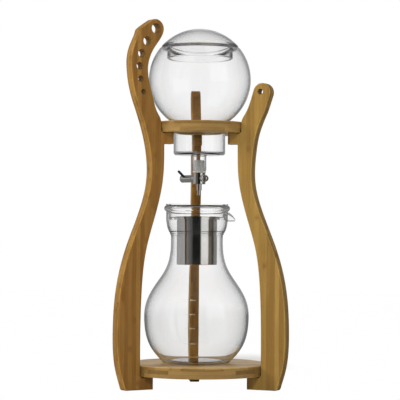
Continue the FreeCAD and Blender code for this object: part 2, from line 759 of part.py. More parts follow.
def make_globe():
    """Blown glass ball with a mouth on top, a flat-bottomed neck and an outlet stub below."""
    radius, wall = size("globe_radius"), size("globe_wall")
    mouth, neck = size("mouth_level"), size("neck_radius")
    rise, neck_bottom = size("mouth_rise"), size("neck_bottom")
    below = cylinder(
        "globe_below_mouth",
        "Sizes.globe_radius",
        "Sizes.globe_radius + Levels.mouth_rise",
        "Levels.globe_centre - Sizes.globe_radius",
    )
    ball = common("globe_ball", sphere("globe_sphere", "Sizes.globe_radius", "Levels.globe_centre"), below)
    neck_solid = cylinder(
        "globe_neck", "Sizes.neck_radius", "Levels.globe_centre - Levels.neck_bottom", "Levels.neck_bottom"
    )
    stub = cylinder(
        "globe_stub", "Sizes.stub_radius", "Sizes.stub_length + Sizes.globe_wall", "Levels.stub_end"
    )
    outer = fuse("globe_outside", ball, neck_solid, stub)
    outer = rounded(
        "globe_outside_rounded",
        outer,
        (sqrt(radius ** 2 - rise ** 2), mouth, size("mouth_round")),
        (neck, neck_bottom, size("neck_round")),
        (size("stub_radius"), neck_bottom, size("stub_root")),
    )
    hollow_below = cylinder(
        "hollow_below_mouth",
        "Sizes.globe_radius",
        "Sizes.globe_radius + Levels.mouth_rise - Sizes.globe_wall",
        "Levels.globe_centre - Sizes.globe_radius",
    )
    hollow_ball = common(
        "hollow_ball",
        sphere("hollow_sphere", "Sizes.globe_radius - Sizes.globe_wall", "Levels.globe_centre"),
        hollow_below,
    )
    hollow_neck = cylinder(
        "hollow_neck",
        "Sizes.neck_radius - Sizes.globe_wall",
        "Levels.globe_centre - Levels.neck_bottom - Sizes.globe_wall",
        "Levels.neck_bottom + Sizes.globe_wall",
    )
    hollow = fuse("globe_hollow", hollow_ball, hollow_neck)
    hollow = rounded(
        "globe_hollow_rounded",
        hollow,
        (sqrt((radius - wall) ** 2 - (rise - wall) ** 2), mouth - wall, size("mouth_round") - wall),
        (neck - wall, neck_bottom + wall, size("neck_inner_round")),
    )
    mouth_hole = cylinder(
        "globe_mouth_hole",
        "Levels.globe_mouth",
        "Sizes.globe_wall + Sizes.cutter_over",
        "Levels.mouth_level - Sizes.globe_wall * 2",
    )
    stub_hole = cylinder(
        "globe_stub_hole", "Levels.stub_bore", "Sizes.stub_length + Sizes.cutter_over", "Levels.stub_end"
    )
    tools = fuse("globe_cavity", hollow, mouth_hole, stub_hole)
    glass = cut("globe_glass", outer, tools)
    inner_mouth, soft = size("globe_mouth"), size("mouth_edge")
    glass = rounded(
        "water_globe",
        glass,
        (inner_mouth, mouth, soft),
        (inner_mouth, mouth - wall, soft),
    )
    return finished(glass, "water_globe")


def make_lid():
    """Glass cap that carries on the globe's curve, with a plug wall that drops into the mouth."""
    rise = size("mouth_rise") + size("lid_gap")
    rim = sqrt(size("globe_radius") ** 2 - rise ** 2)
    level = size("lid_level")
    above = cylinder("lid_above_rim", "Sizes.globe_radius", "Sizes.globe_radius", "Levels.lid_level")
    cap = common("lid_cap", sphere("lid_sphere", "Sizes.globe_radius", "Levels.globe_centre"), above)
    plug = cylinder(
        "lid_plug",
        "Sizes.plug_radius",
        "Sizes.plug_depth + Sizes.lid_wall",
        "Levels.lid_level - Sizes.plug_depth",
    )
    outer = fuse("lid_outside", cap, plug)
    inside_above = cylinder(
        "lid_inside_above", "Sizes.globe_radius", "Sizes.globe_radius", "Levels.lid_level + Sizes.lid_wall"
    )
    inside_cap = common(
        "lid_inside_cap",
        sphere("lid_inside_sphere", "Sizes.globe_radius - Sizes.lid_wall", "Levels.globe_centre"),
        inside_above,
    )
    inside_plug = cylinder(
        "lid_inside_plug",
        "Sizes.plug_radius - Sizes.plug_wall",
        "Sizes.plug_depth + Sizes.lid_wall * 2",
        "Levels.lid_level - Sizes.plug_depth",
    )
    glass = cut("lid_glass", outer, fuse("lid_hollow", inside_cap, inside_plug))
    bottom = level - size("plug_depth")
    plug_outside = size("plug_radius")
    plug_inside = plug_outside - size("plug_wall")
    glass = rounded(
        "globe_lid",
        glass,
        (rim, level, size("lid_edge")),
        (plug_outside, level, size("lid_root")),
        (plug_outside, bottom, size("plug_edge")),
        (plug_inside, bottom, size("plug_edge")),
    )
    return finished(glass, "globe_lid")


# ---------------------------------------------------------------------------------------------
# Tap
# ---------------------------------------------------------------------------------------------

BARB_COUNT = 3


def key_direction():
    """Unit vector along the tap's key, towards its nut."""
    angle = radians(size("tap_angle"))
    return Vector(cos(angle), sin(angle), 0)


def lever_direction():
    """Unit vector along the lever, across the key and sloping upwards."""
    angle = radians(size("tap_angle"))
    level = Vector(sin(angle), -cos(angle), 0)
    lift = radians(size("lever_lift"))
    return level * cos(lift) + UP * sin(lift)


def bar(name, radius, length, start, direction):
    """A cylinder along a direction, from a place; radius and length follow formulas."""
    item = doc.addObject("Part::Cylinder", name)
    bind(item, Radius=radius, Height=length)
    item.Placement = Placement(start, Rotation(UP, direction))
    return item


def on_key(distance):
    """A point on the key's axis, at a distance from the tower's axis towards the nut."""
    return Vector(0, 0, size("tap_centre")) + key_direction() * distance


def make_tap_body():
    """Upright barrel with a cross barrel for the key, and a ridged barb tube on top."""
    along = key_direction()
    barrel = cylinder("tap_barrel", "Sizes.tap_radius", "Sizes.tap_height", "Levels.tap_bottom")
    barrel = rounded(
        "tap_barrel_rounded",
        barrel,
        (size("tap_radius"), None, size("tap_round")),
    )
    cross_length = "Sizes.cross_front + Sizes.cross_back"
    cross_end = on_key(-size("cross_back"))
    cross = bar("tap_cross", "Sizes.cross_radius", cross_length, cross_end, along)
    tube = cylinder("tap_tube", "Sizes.barb_radius - Sizes.barb_ridge", "Sizes.barb_length", "Levels.tap_top")
    parts = [barrel, cross, tube]
    for index in range(BARB_COUNT):
        ridge = doc.addObject("Part::Cone", f"tap_ridge_{index}")
        drop = f"Sizes.barb_pitch * {index + 1}"
        bind(
            ridge,
            Radius1="Sizes.barb_radius",
            Radius2="Sizes.barb_radius - Sizes.barb_ridge",
            Height="Sizes.barb_pitch",
            **{"Placement.Base.z": f"Levels.tap_top + Sizes.barb_length - {drop}"},
        )
        parts.append(ridge)
    solid = fuse("tap_body_solid", *parts)
    water = cylinder(
        "tap_water_way",
        "Sizes.water_bore",
        "Sizes.tap_height + Sizes.barb_length - Sizes.spigot_length",
        "Levels.tap_bottom + Sizes.spigot_length",
    )
    socket = cylinder(
        "tap_socket",
        "Sizes.spigot_radius + Sizes.key_clearance",
        "Sizes.spigot_length",
        "Levels.tap_bottom",
    )
    bore = bar("tap_key_bore", "Sizes.key_radius + Sizes.key_clearance", cross_length, cross_end, along)
    ways = fuse("tap_ways", water, socket, bore)
    return finished(cut("tap_body", solid, ways), "tap_body")


def make_bush():
    """Silicone bush that seals the tap's barb tube in the globe's outlet stub."""
    body = turned("outlet_bush", [
        ("Sizes.barb_radius", "Levels.tap_top"),
        ("Sizes.bush_flange_radius", "Levels.tap_top"),
        ("Sizes.bush_flange_radius", "Levels.stub_end"),
        ("Levels.stub_bore", "Levels.stub_end"),
        ("Levels.stub_bore - Sizes.barb_ridge", "Levels.tap_top + Sizes.barb_length"),
        ("Sizes.barb_radius", "Levels.tap_top + Sizes.barb_length"),
    ])
    return finished(body, "outlet_bush")


def make_key():
    """The tap's turning key: a shaft with a cross port in line with the lever, and a threaded end."""
    along = key_direction()
    back = size("cross_back") + size("part_gap") + size("key_insert")
    length = "Sizes.cross_front + Sizes.cross_back + Sizes.part_gap + Sizes.key_insert"
    shaft = bar("key_shaft", "Sizes.key_radius", length, on_key(-back), along)
    stub_length = "Sizes.washer_thickness + Sizes.nut_skirt + Sizes.part_gap"
    stub = bar("key_stub", "Sizes.stub_shaft", stub_length, on_key(size("cross_front")), along)
    solid = fuse("key_solid", shaft, stub)
    port_start = on_key(0) - lever_direction() * size("key_radius") * 2
    port = bar("key_port", "Sizes.water_bore", "Sizes.key_radius * 4", port_start, lever_direction())
    grooves = [port]
    for index, side in enumerate((-1, 1)):
        groove = doc.addObject("Part::Torus", f"key_groove_{index}")
        bind(
            groove,
            Radius1="Sizes.key_radius + Sizes.seal_proud - Sizes.seal_section / 2",
            Radius2="Sizes.seal_section / 2",
        )
        groove.Placement = Placement(on_key(side * size("seal_place")), Rotation(UP, along))
        grooves.append(groove)
    return finished(cut("tap_key", solid, fuse("key_cuts", *grooves)), "tap_key")


def make_seals():
    """Two O-rings in the key's grooves, either side of its port."""
    rings = []
    section = size("seal_section") / 2
    ring_radius = size("key_radius") + size("seal_proud") - section
    for side in (-1, 1):
        place = on_key(side * size("seal_place"))
        rings.append(Part.makeTorus(ring_radius, section, place, key_direction()))
    return finished(feature("tap_seals", Part.makeCompound(rings)), "tap_seals")


def make_handle():
    """Round bar on the key's back end, cross-drilled for the lever."""
    along = key_direction()
    start = size("cross_back") + size("part_gap")
    length = "Sizes.handle_end - Sizes.cross_back - Sizes.part_gap"
    solid = bar("handle_bar", "Sizes.handle_radius", length, on_key(-start), along * -1)
    doc.recompute()
    edges = []
    for number, edge in enumerate(solid.Shape.Edges, start=1):
        if isinstance(edge.Curve, Part.Circle):
            edges.append((number, size("handle_round"), size("handle_round")))
    soft = doc.addObject("Part::Fillet", "handle_rounded")
    soft.Base = solid
    soft.Edges = edges
    doc.recompute()
    place = on_key(-size("lever_place"))
    hole = bar("handle_hole", "Sizes.lever_radius", "Sizes.handle_radius", place, lever_direction())
    socket = bar("handle_socket", "Sizes.key_radius", "Sizes.key_insert", on_key(-start), along * -1)
    return finished(cut("tap_handle", soft, fuse("handle_cuts", hole, socket)), "tap_handle")


def make_lever():
    """Thin rod out of the handle."""
    place = on_key(-size("lever_place"))
    length = "Sizes.lever_length - Sizes.lever_grip"
    rod = bar("tap_lever", "Sizes.lever_radius", length, place, lever_direction())
    return finished(rod, "tap_lever")


def make_grip():
    """Dark sleeve over the lever, closed and domed at its outer end."""
    direction = lever_direction()
    root = on_key(-size("lever_place"))
    start = root + direction * (size("handle_radius") + size("part_gap"))
    length = "Sizes.lever_length - Sizes.handle_radius - Sizes.part_gap - Sizes.lever_grip"
    sleeve = bar("grip_sleeve", "Sizes.lever_grip", length, start, direction)
    dome = doc.addObject("Part::Sphere", "grip_dome")
    bind(dome, Radius="Sizes.lever_grip")
    end = root + direction * (size("lever_length") - size("lever_grip"))
    dome.Placement = Placement(end, Rotation())
    bore = bar("grip_bore", "Sizes.lever_radius", length, start, direction)
    return finished(cut("lever_grip", fuse("grip_solid", sleeve, dome), bore), "lever_grip")


def make_washer():
    """Flat washer between the cross barrel and the domed nut."""
    along = key_direction()
    start = on_key(size("cross_front") + size("part_gap"))
    disc = bar("washer_disc", "Sizes.washer_radius", "Sizes.washer_thickness", start, along)
    hole = bar("washer_hole", "Sizes.stub_shaft", "Sizes.washer_thickness", start, along)
    return finished(cut("tap_washer", disc, hole), "tap_washer")


def make_nut():
    """Domed nut that pulls the key tight."""
    along = key_direction()
    base = size("cross_front") + size("part_gap") + size("washer_thickness")
    skirt = bar("nut_skirt", "Sizes.nut_radius", "Sizes.nut_skirt", on_key(base), along)
    dome = doc.addObject("Part::Sphere", "nut_dome")
    dome.Angle1 = 0
    bind(dome, Radius="Sizes.nut_radius")
    dome.Placement = Placement(on_key(base + size("nut_skirt")), Rotation(UP, along))
    hole = bar("nut_thread", "Sizes.stub_shaft", "Sizes.nut_skirt", on_key(base), along)
    return finished(cut("tap_nut", fuse("nut_solid", skirt, dome), hole), "tap_nut")


def make_outlet():
    """Nozzle under the tap, with a spigot up into the body and a bore for the drip tip."""
    body = turned("tap_outlet", [
        ("Sizes.tip_tube_radius", "Levels.outlet_end"),
        ("Sizes.outlet_radius", "Levels.outlet_end"),
        ("Sizes.outlet_radius", "Levels.tap_bottom"),
        ("Sizes.spigot_radius", "Levels.tap_bottom"),
        ("Sizes.spigot_radius", "Levels.tap_bottom + Sizes.spigot_length"),
        ("Sizes.tip_bore", "Levels.tap_bottom + Sizes.spigot_length"),
        ("Sizes.tip_bore", "Levels.outlet_end + Sizes.outlet_length / 2"),
        ("Sizes.tip_tube_radius", "Levels.outlet_end + Sizes.outlet_length / 2"),
    ])
    return finished(body, "tap_outlet")


def make_drip_tip():
    """Thin tube that lets single drops fall."""
    body = turned("drip_tip", [
        ("Sizes.tip_bore", "Levels.drip_tip_end"),
        ("Sizes.tip_tube_radius - Sizes.tip_bore / 2", "Levels.drip_tip_end"),
        ("Sizes.tip_tube_radius", "Levels.drip_tip_end + Sizes.tip_bore"),
        ("Sizes.tip_tube_radius", "Levels.outlet_end + Sizes.outlet_length / 2"),
        ("Sizes.tip_bore", "Levels.outlet_end + Sizes.outlet_length / 2"),
    ])
    return finished(body, "drip_tip")


# ---------------------------------------------------------------------------------------------
# Carafe
# ---------------------------------------------------------------------------------------------

# Sections of the beak: share of its reach, how far its top has fallen and its lower edge has sunk
# towards the tip (0 to 1), and its width as a share of the root's.
BEAK_SECTIONS = [
    (0.0, 0.0, 1.0),
    (0.35, 0.13, 0.80),
    (0.7, 0.42, 0.52),
    (1.0, 0.80, 0.26),
]
BEAK_SAG = 0.6                     # how far the lower edge hangs below a straight line at the tip
BEAK_THINNING = 0.35               # share of the beak's wall that is gone at its tip
WAY_DEPTH = 3.3                    # how far inside the mouth's wall the beak's way starts
RIM_LEAN = 0.2                     # the rim's inner arc: its middle's way in, as a share of its width


def carafe_side(inset):
    """The carafe's side from its foot to its rim, moved in by an inset along its normals."""
    names = ["hip", "belly", "crest", "flank", "throat"]
    rim = size("carafe_height")
    lower = [(size("carafe_foot") + size("foot_corner"), size("corner_height"))]
    lower += [(size(f"{name}_radius"), size(f"{name}_height")) for name in names]
    lower.append((size("carafe_neck"), rim - size("carafe_neck_drop")))
    upper = [(size(f"{name}_radius"), rim - size(f"{name}_drop")) for name in ("crease", "bulge", "mouth")]
    lower.append(upper[0])
    return moved_in(lower, inset), moved_in(upper, inset)


def moved_in(points, inset):
    """The same spline's points, each moved towards the glass's inside."""
    curve = spline(points)
    result = []
    for x, y in points:
        tangent = curve.tangent(curve.parameter(Vector(x, y, 0)))[0]
        result.append((x - tangent.y * inset, y + tangent.x * inset))
    return result


def revolve_outline(curves):
    """Revolve a closed outline of (radius, height) curves about the tower's axis."""
    edges = [curve.toShape() for curve in curves]
    wire = Part.Wire(Part.__sortEdges__(edges))
    face = Part.Face(wire)
    face.rotate(ORIGIN, Vector(1, 0, 0), 90)
    return face.revolve(ORIGIN, UP, FULL_TURN)


def foot_curves(inset, side_start, side_direction):
    """The pushed-in bottom, the ring the carafe stands on, and the turn up into its side."""
    foot, height = size("carafe_foot") - inset / 2, size("punt") + inset
    punt_edge = foot - size("punt_width")
    level = (1.0, 0.0, 0.0)
    return [
        line((0, height), (punt_edge, height)),
        spline([(punt_edge, height), (foot, inset)], level, level),
        spline([(foot, inset), side_start], level, side_direction),
    ]


def carafe_shell():
    """The turned glass: side, pushed-in bottom, flared mouth and rolled rim."""
    wall, height = size("carafe_wall"), size("carafe_height")
    outer_low, outer_high = carafe_side(0.0)
    inner_low, inner_high = carafe_side(wall)
    inner_high[0] = inner_low[-1]
    rim_bottom = height - size("rim_depth")
    inner_mouth = size("mouth_radius") - wall
    inner_high[-1] = (inner_mouth, height - size("mouth_drop"))
    half_rim = (size("rim_radius") - inner_mouth) / 2
    rim_middle = inner_mouth + half_rim
    side = spline(outer_low)
    direction = tuple(side.tangent(side.FirstParameter)[0])
    outline = foot_curves(0.0, outer_low[0], direction)
    outline += [
        side,
        spline(outer_high),
        line(outer_high[-1], (outer_high[-1][0], rim_bottom)),
        arc(
            (outer_high[-1][0], rim_bottom),
            (size("rim_radius"), height - size("rim_depth") / 2),
            (rim_middle, height),
        ),
        arc(
            (rim_middle, height),
            (inner_mouth + half_rim * RIM_LEAN, height - half_rim),
            (inner_mouth, rim_bottom),
        ),
        line((inner_mouth, rim_bottom), inner_high[-1]),
        spline(inner_high[::-1]),
        spline(inner_low[::-1]),
    ]
    outline += foot_curves(wall, inner_low[0], direction)[::-1]
    outline.append(line((0, size("punt") + wall), (0, size("punt"))))
    return revolve_outline(outline)


def beak_section(radius, top, bottom, width, shrink):
    """An oval wire across the beak, at a distance from the axis."""
    half_height = (top - bottom) / 2 - shrink
    half_width = width / 2 - shrink
    oval = Part.Ellipse(ORIGIN, max(half_height, half_width), min(half_height, half_width))
    wire = Part.Wire([oval.toShape()])
    if half_height > half_width:
        wire.rotate(ORIGIN, UP, 90)
    wire.rotate(ORIGIN, Vector(1, 0, 0), 90)
    wire.rotate(ORIGIN, UP, 90)
    wire.translate(Vector(radius, 0, (top + bottom) / 2))
    return wire


def beak(shrink, root):
    """The pouring beak: ovals from a root radius in the mouth's wall, drooping to a small open tip."""
    rim = size("carafe_height")
    top, tip = rim - size("beak_root_drop"), rim - size("beak_drop")
    bottom = top - size("beak_root_height")
    reach = size("beak_reach")
    width = size("beak_width")
    sections = []
    for share, fall, narrow in BEAK_SECTIONS:
        level = bottom + (tip - bottom) * share
        sections.append(beak_section(
            root + (reach - root) * share,
            top - (top - tip) * fall,
            level - BEAK_SAG * share,
            width * narrow,
            shrink * (1.0 - BEAK_THINNING * share),
        ))
    return Part.makeLoft(sections, True)


def in_carafe(level):
    """The place on the carafe's own axis at a level above the ground."""
    return Placement(Vector(size("carafe_offset"), 0, level), Rotation())


def make_carafe():
    """Blown glass carafe with a hollow pouring beak below its rim, on the right."""
    wall, mouth = size("carafe_wall"), size("mouth_radius")
    shell = carafe_shell()
    inside = Part.makeCylinder(mouth - wall / 2, size("carafe_height"), ORIGIN)
    spout = beak(0.0, mouth - size("beak_bury")).cut(inside)
    way = beak(size("beak_wall"), mouth - wall - WAY_DEPTH)
    glass = feature("carafe", shell.fuse(spout).cut(way))
    glass.Placement = in_carafe(size("base_top") + size("stand_gap"))
    return finished(glass, "carafe")


# ---------------------------------------------------------------------------------------------
# Filter
# ---------------------------------------------------------------------------------------------

def make_holder():
    """Silicone ring: a flange over the carafe's rim, a wall down its mouth and a web for the cup."""
    body = turned("filter_holder", [
        ("Levels.holder_hole", "Levels.holder_bottom"),
        ("Levels.holder_radius - Sizes.holder_taper", "Levels.holder_bottom"),
        ("Levels.holder_radius", "Levels.holder_seat"),
        ("Sizes.holder_lap", "Levels.holder_seat"),
        ("Sizes.holder_lap", "Levels.holder_seat + Sizes.holder_flange"),
        ("Levels.holder_bore", "Levels.holder_seat + Sizes.holder_flange"),
        ("Levels.holder_bore", "Levels.holder_bottom + Sizes.holder_web"),
        ("Levels.holder_hole", "Levels.holder_bottom + Sizes.holder_web"),
    ])
    body.Placement = in_carafe(0)
    return finished(body, "filter_holder")


def make_collar():
    """Upper steel band of the filter, hung in the holder by its turned-out lip."""
    body = turned("filter_collar", [
        ("Levels.cup_bore", "Levels.collar_end"),
        ("Sizes.cup_radius", "Levels.collar_end"),
        ("Sizes.cup_radius", "Levels.cup_top - Sizes.cup_lip_thickness"),
        ("Sizes.cup_lip", "Levels.cup_top - Sizes.cup_lip_thickness"),
        ("Sizes.cup_lip", "Levels.cup_top"),
        ("Levels.cup_bore", "Levels.cup_top"),
        ("Levels.cup_bore", "Levels.plate_level"),
        ("Levels.cup_bore - Sizes.plate_ledge", "Levels.plate_level"),
        ("Levels.cup_bore - Sizes.plate_ledge", "Levels.plate_level - Sizes.cup_wall"),
        ("Levels.cup_bore", "Levels.plate_level - Sizes.cup_wall"),
    ])
    body.Placement = in_carafe(0)
    return finished(body, "filter_collar")


def make_cup():
    """Lower steel cup: a groove under the collar, plain wall and a narrow lip round the mesh."""
    inner = "Levels.cup_bore"
    groove = "Sizes.cup_radius - Sizes.cup_wall / 2"
    body = turned("filter_cup", [
        (inner, "Levels.cup_end + Sizes.cup_wall"),
        (inner, "Levels.collar_end"),
        (groove, "Levels.collar_end"),
        (groove, "Levels.collar_end - Sizes.groove_height"),
        ("Sizes.cup_radius", "Levels.collar_end - Sizes.groove_height"),
        ("Sizes.cup_radius", "Levels.cup_end + Sizes.cup_wall / 2"),
        ("Sizes.cup_radius - Sizes.cup_wall / 2", "Levels.cup_end"),
        (inner + " - Sizes.floor_lip", "Levels.cup_end"),
        (inner + " - Sizes.floor_lip", "Levels.cup_end + Sizes.cup_wall"),
    ])
    body.Placement = in_carafe(0)
    return finished(body, "filter_cup")


RING_COUNT = 4
RING_GROWTH_COUNT = 6              # each ring has this many more holes than the one inside it


def ring_drills(hole, pitch, thickness):
    """Drills for rings of holes in a round plate whose bottom is at the origin."""
    drills = []
    for ring in range(1, RING_COUNT + 1):
        count = RING_GROWTH_COUNT * ring
        for index in range(count):
            angle = 2 * pi * index / count
            place = Vector(pitch * ring * cos(angle), pitch * ring * sin(angle), 0)
            drills.append(Part.makeCylinder(hole / 2, thickness, place))
    return drills


def make_mesh():
    """Perforated steel disc at the bottom of the filter cup."""
    thickness, hole = size("mesh_thickness"), size("mesh_hole")
    disc = Part.makeCylinder(size("cup_bore") - size("plate_clearance"), thickness)
    drills = [Part.makeCylinder(hole / 2, thickness)]
    drills += ring_drills(hole, size("mesh_pitch"), thickness)
    mesh = feature("filter_mesh", disc.cut(Part.makeCompound(drills)))
    mesh.Placement = in_carafe(size("cup_end") + size("cup_wall"))
    return finished(mesh, "filter_mesh")


def make_plate():
    """Shower plate near the top of the filter, lifted out by a small knob."""
    thickness = size("plate_thickness")
    disc = Part.makeCylinder(size("cup_bore") - size("plate_clearance"), thickness)
    drills = ring_drills(size("plate_hole"), size("plate_pitch"), thickness)
    knob = Part.makeCylinder(size("plate_knob") / 2, size("plate_knob_height"))
    shower = feature("shower_plate", disc.cut(Part.makeCompound(drills)).fuse(knob))
    shower.Placement = in_carafe(size("plate_level"))
    return finished(shower, "shower_plate")


# ---------------------------------------------------------------------------------------------
# The tower
# ---------------------------------------------------------------------------------------------

make_leg("tall_leg", True)
make_leg("right_leg", False)
make_leg("rear_leg", False)
make_shelf("base_shelf", "Sizes.base_radius", "Sizes.foot_height", "Sizes.screw_circle")
make_shelf(
    "upper_shelf", "Sizes.shelf_radius", "Levels.shelf_bottom", "Sizes.shelf_screw_circle", "Levels.neck_hole"
)
make_screws("base_screws", "screw_circle", "base_top")
make_screws("shelf_screws", "shelf_screw_circle", "shelf_top")
make_globe()
make_lid()
make_bush()
make_tap_body()
make_key()
make_seals()
make_handle()
make_lever()
make_grip()
make_washer()
make_nut()
make_outlet()
make_drip_tip()
make_carafe()
make_holder()
make_collar()
make_cup()
make_mesh()
make_plate()
doc.recompute()

# ---------------------------------------------------------------------------------------------
# Check and write
# ---------------------------------------------------------------------------------------------

for item in doc.Objects:
    if "Invalid" in item.State or "Error" in item.State:
        raise RuntimeError(f"{item.Name} failed: {item.State}")
for node in NODES:
    if node.Shape.isNull() or not node.Shape.isValid():
        raise RuntimeError(f"{node.Label} has no valid shape")

os.makedirs("parts", exist_ok=True)
for node in NODES:
    node.Shape.exportStep(f"parts/{node.Label}.step")
    box = node.Shape.BoundBox
    print(f"{node.Label:16s} solids {len(node.Shape.Solids)} volume {node.Shape.Volume:10.1f} "
          f"z {box.ZMin:7.2f} to {box.ZMax:7.2f}")
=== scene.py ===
# %% [markdown]
# # A cold drip coffee tower
#
# Three bent bamboo boards carry two round shelves. A glass water globe with a lid sits in the upper
# shelf, a small steel tap drips below it, and a glass carafe with a steel filter in its mouth
# stands on the lower shelf. The solids come ready made, as a frame. This lesson is about how they
# look: the grain of the bamboo, the thickness of the glass, the polish of the steel, and the light
# that makes clear glass visible at all.

from math import asin, atan2, cos, degrees, dist, pi, radians, sin, sqrt

import bmesh
import bpy
from mathutils import Matrix, Vector


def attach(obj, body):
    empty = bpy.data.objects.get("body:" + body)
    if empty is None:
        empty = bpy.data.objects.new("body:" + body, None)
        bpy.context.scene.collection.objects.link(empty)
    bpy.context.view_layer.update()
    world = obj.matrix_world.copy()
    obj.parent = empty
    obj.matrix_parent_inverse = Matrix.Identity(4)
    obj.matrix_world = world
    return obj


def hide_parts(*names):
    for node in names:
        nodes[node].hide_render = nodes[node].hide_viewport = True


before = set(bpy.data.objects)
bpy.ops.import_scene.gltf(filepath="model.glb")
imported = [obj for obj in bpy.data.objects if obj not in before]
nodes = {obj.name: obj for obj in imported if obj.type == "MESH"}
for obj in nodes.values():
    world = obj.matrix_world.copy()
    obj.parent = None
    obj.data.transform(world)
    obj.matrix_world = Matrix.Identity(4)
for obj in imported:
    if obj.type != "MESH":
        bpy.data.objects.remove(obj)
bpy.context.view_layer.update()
MM = 0.001

# %% [markdown]
# ## Small tools for materials
#
# A material is a graph of nodes. Writing each node out takes four or five lines, so short helpers
# do it: one adds a node and feeds it, one does a sum, one mixes two colours, and a few masks are
# built from these.


# %% Helpers for node graphs
def feed(tree, entry, value):
    """Link a socket into an input, or set a plain value on it."""
    if isinstance(value, bpy.types.NodeSocket):
        tree.links.new(value, entry)
    else:
        entry.default_value = value


def add_node(tree, kind, feeds=None, **settings):
    """Add a shader node with its settings, and feed its inputs."""
    node = tree.nodes.new("ShaderNode" + kind)
    for name, value in settings.items():
        setattr(node, name, value)
    for name, value in (feeds or {}).items():
        feed(tree, node.inputs[name], value)
    return node


def sum_of(tree, operation, *values, clamp=False):
    """One Math node; its result socket."""
    node = add_node(tree, "Math", dict(enumerate(values)), operation=operation, use_clamp=clamp)
    return node.outputs[0]


def vector_sum(tree, operation, *values):
    """One Vector Math node; its vector or value."""
    node = add_node(tree, "VectorMath", dict(enumerate(values)), operation=operation)
    return node.outputs[1] if operation in ("DOT_PRODUCT", "LENGTH") else node.outputs[0]


def blended(tree, share, first, second):
    """A colour between two others."""
    feeds = {0: share, 6: first, 7: second}
    return add_node(tree, "Mix", feeds, data_type="RGBA").outputs[2]


def mixed(tree, share, first, second):
    """A shader between two others."""
    return add_node(tree, "MixShader", {0: share, 1: first, 2: second}).outputs[0]


# %% Helpers for masks
def product(tree, first, second):
    """One value times another."""
    return sum_of(tree, "MULTIPLY", first, second)


def flipped(tree, value):
    """One less a value."""
    return sum_of(tree, "SUBTRACT", 1.0, value)


def centred(tree, value):
    """A value from 0 to 1, moved to lie about 0."""
    return sum_of(tree, "SUBTRACT", value, 0.5)


def added(tree, start, *parts):
    """A start value plus each part's value times its share."""
    for value, share in parts:
        start = sum_of(tree, "MULTIPLY_ADD", value, share, start)
    return start


def stepped(tree, value, low, high):
    """0 below low, 1 above high and smooth between them."""
    feeds = {"Value": value, "From Min": low, "From Max": high}
    return add_node(tree, "MapRange", feeds, interpolation_type="SMOOTHSTEP").outputs["Result"]


def band(tree, value, rise, fall):
    """1 between a rise and a fall, each a (from, to), and 0 outside them."""
    return sum_of(tree, "SUBTRACT", stepped(tree, value, *rise), stepped(tree, value, *fall))


def off_middle(tree, value):
    """How far a value is from the middle between two whole numbers."""
    return sum_of(tree, "ABSOLUTE", centred(tree, sum_of(tree, "FRACT", value)))


# %% Helpers for noise, greys and shared effects
def noise(tree, place, scale, detail, roughness=0.5):
    """Soft noise between 0 and 1."""
    feeds = {"Vector": place, "Scale": scale, "Detail": detail, "Roughness": roughness}
    return add_node(tree, "TexNoise", feeds).outputs["Fac"]


def grey_ramp(tree, value, stops):
    """A grey for every value, from (value, grey) stops."""
    node = add_node(tree, "ValToRGB", {"Fac": value})
    ramp = node.color_ramp
    while len(ramp.elements) < len(stops):
        ramp.elements.new(0.5)
    for element, (place, grey) in zip(ramp.elements, stops):
        element.position = place
        element.color = (grey, grey, grey, 1.0)
    return node.outputs["Color"]


def new_effect(name, inputs, outputs):
    """An empty node group, its inputs with their start values; its tree, entry and exit."""
    tree = bpy.data.node_groups.new(name, "ShaderNodeTree")
    for label, start in inputs.items():
        kind = "Float" if isinstance(start, float) else ("Vector", "Color")[len(start) - 3]
        socket = tree.interface.new_socket(label, in_out="INPUT", socket_type="NodeSocket" + kind)
        socket.default_value = start
    for label in outputs:
        kind = "Color" if label == "Color" else "Float"
        tree.interface.new_socket(label, in_out="OUTPUT", socket_type="NodeSocket" + kind)
    return tree, tree.nodes.new("NodeGroupInput").outputs, tree.nodes.new("NodeGroupOutput").inputs


def fill_in(tree, node, **values):
    """Feed a node's inputs, by name with _ for a space; its outputs."""
    for name, value in values.items():
        feed(tree, node.inputs[name.replace("_", " ")], value)
    return node.outputs


def use_effect(tree, effect, **values):
    """Place a shared effect in a material; its outputs."""
    node = tree.nodes.new("ShaderNodeGroup")
    node.node_tree = effect
    return fill_in(tree, node, **values)


# %% [markdown]
# ## Bamboo board
#
# A bamboo board is glued from thin strips split out of the cane. Each strip has its own tone and
# fine dark fibres along it. Every hand's width or so it crosses a knuckle, where the cane had a
# joint: a darker band a few millimetres long. Between two strips is a hair-thin glue line. An image
# of wood would do for one flat side, but these boards show faces, edges and end grain together, so
# the pattern is a block of wood in space that the shape is cut out of. The effect takes a place in
# the board's own directions: across the strips, through the layers, along the fibres.

# %% The bamboo effect
ZERO, UP, EVEN = (0.0, 0.0, 0.0), (0.0, 0.0, 1.0), (1.0, 1.0, 1.0)
NO_KNOT = (0.0, 0.0, -900.0)
bamboo, given, made = new_effect(
    "bamboo strips",
    {
        "Place": ZERO,
        "Pale": (0.40, 0.22, 0.08, 1.0),
        "Deep": (0.20, 0.09, 0.03, 1.0),
        "Strip Width": 5.2,
        "Layer": 4.0,
        "Contrast": 0.5,
        "Seed": 0.0,
        "Knot Place": NO_KNOT,
    },
    ["Color", "Roughness", "Height"],
)
in_mm = vector_sum(bamboo, "SCALE", given["Place"])
in_mm.node.inputs["Scale"].default_value = 1.0 / MM


def grain_noise(stretch, detail, roughness=0.5):
    """Noise in the board's own directions, drawn out along the fibres."""
    place = vector_sum(bamboo, "MULTIPLY", in_mm, stretch)
    return noise(bamboo, place, 1.0, detail, roughness)


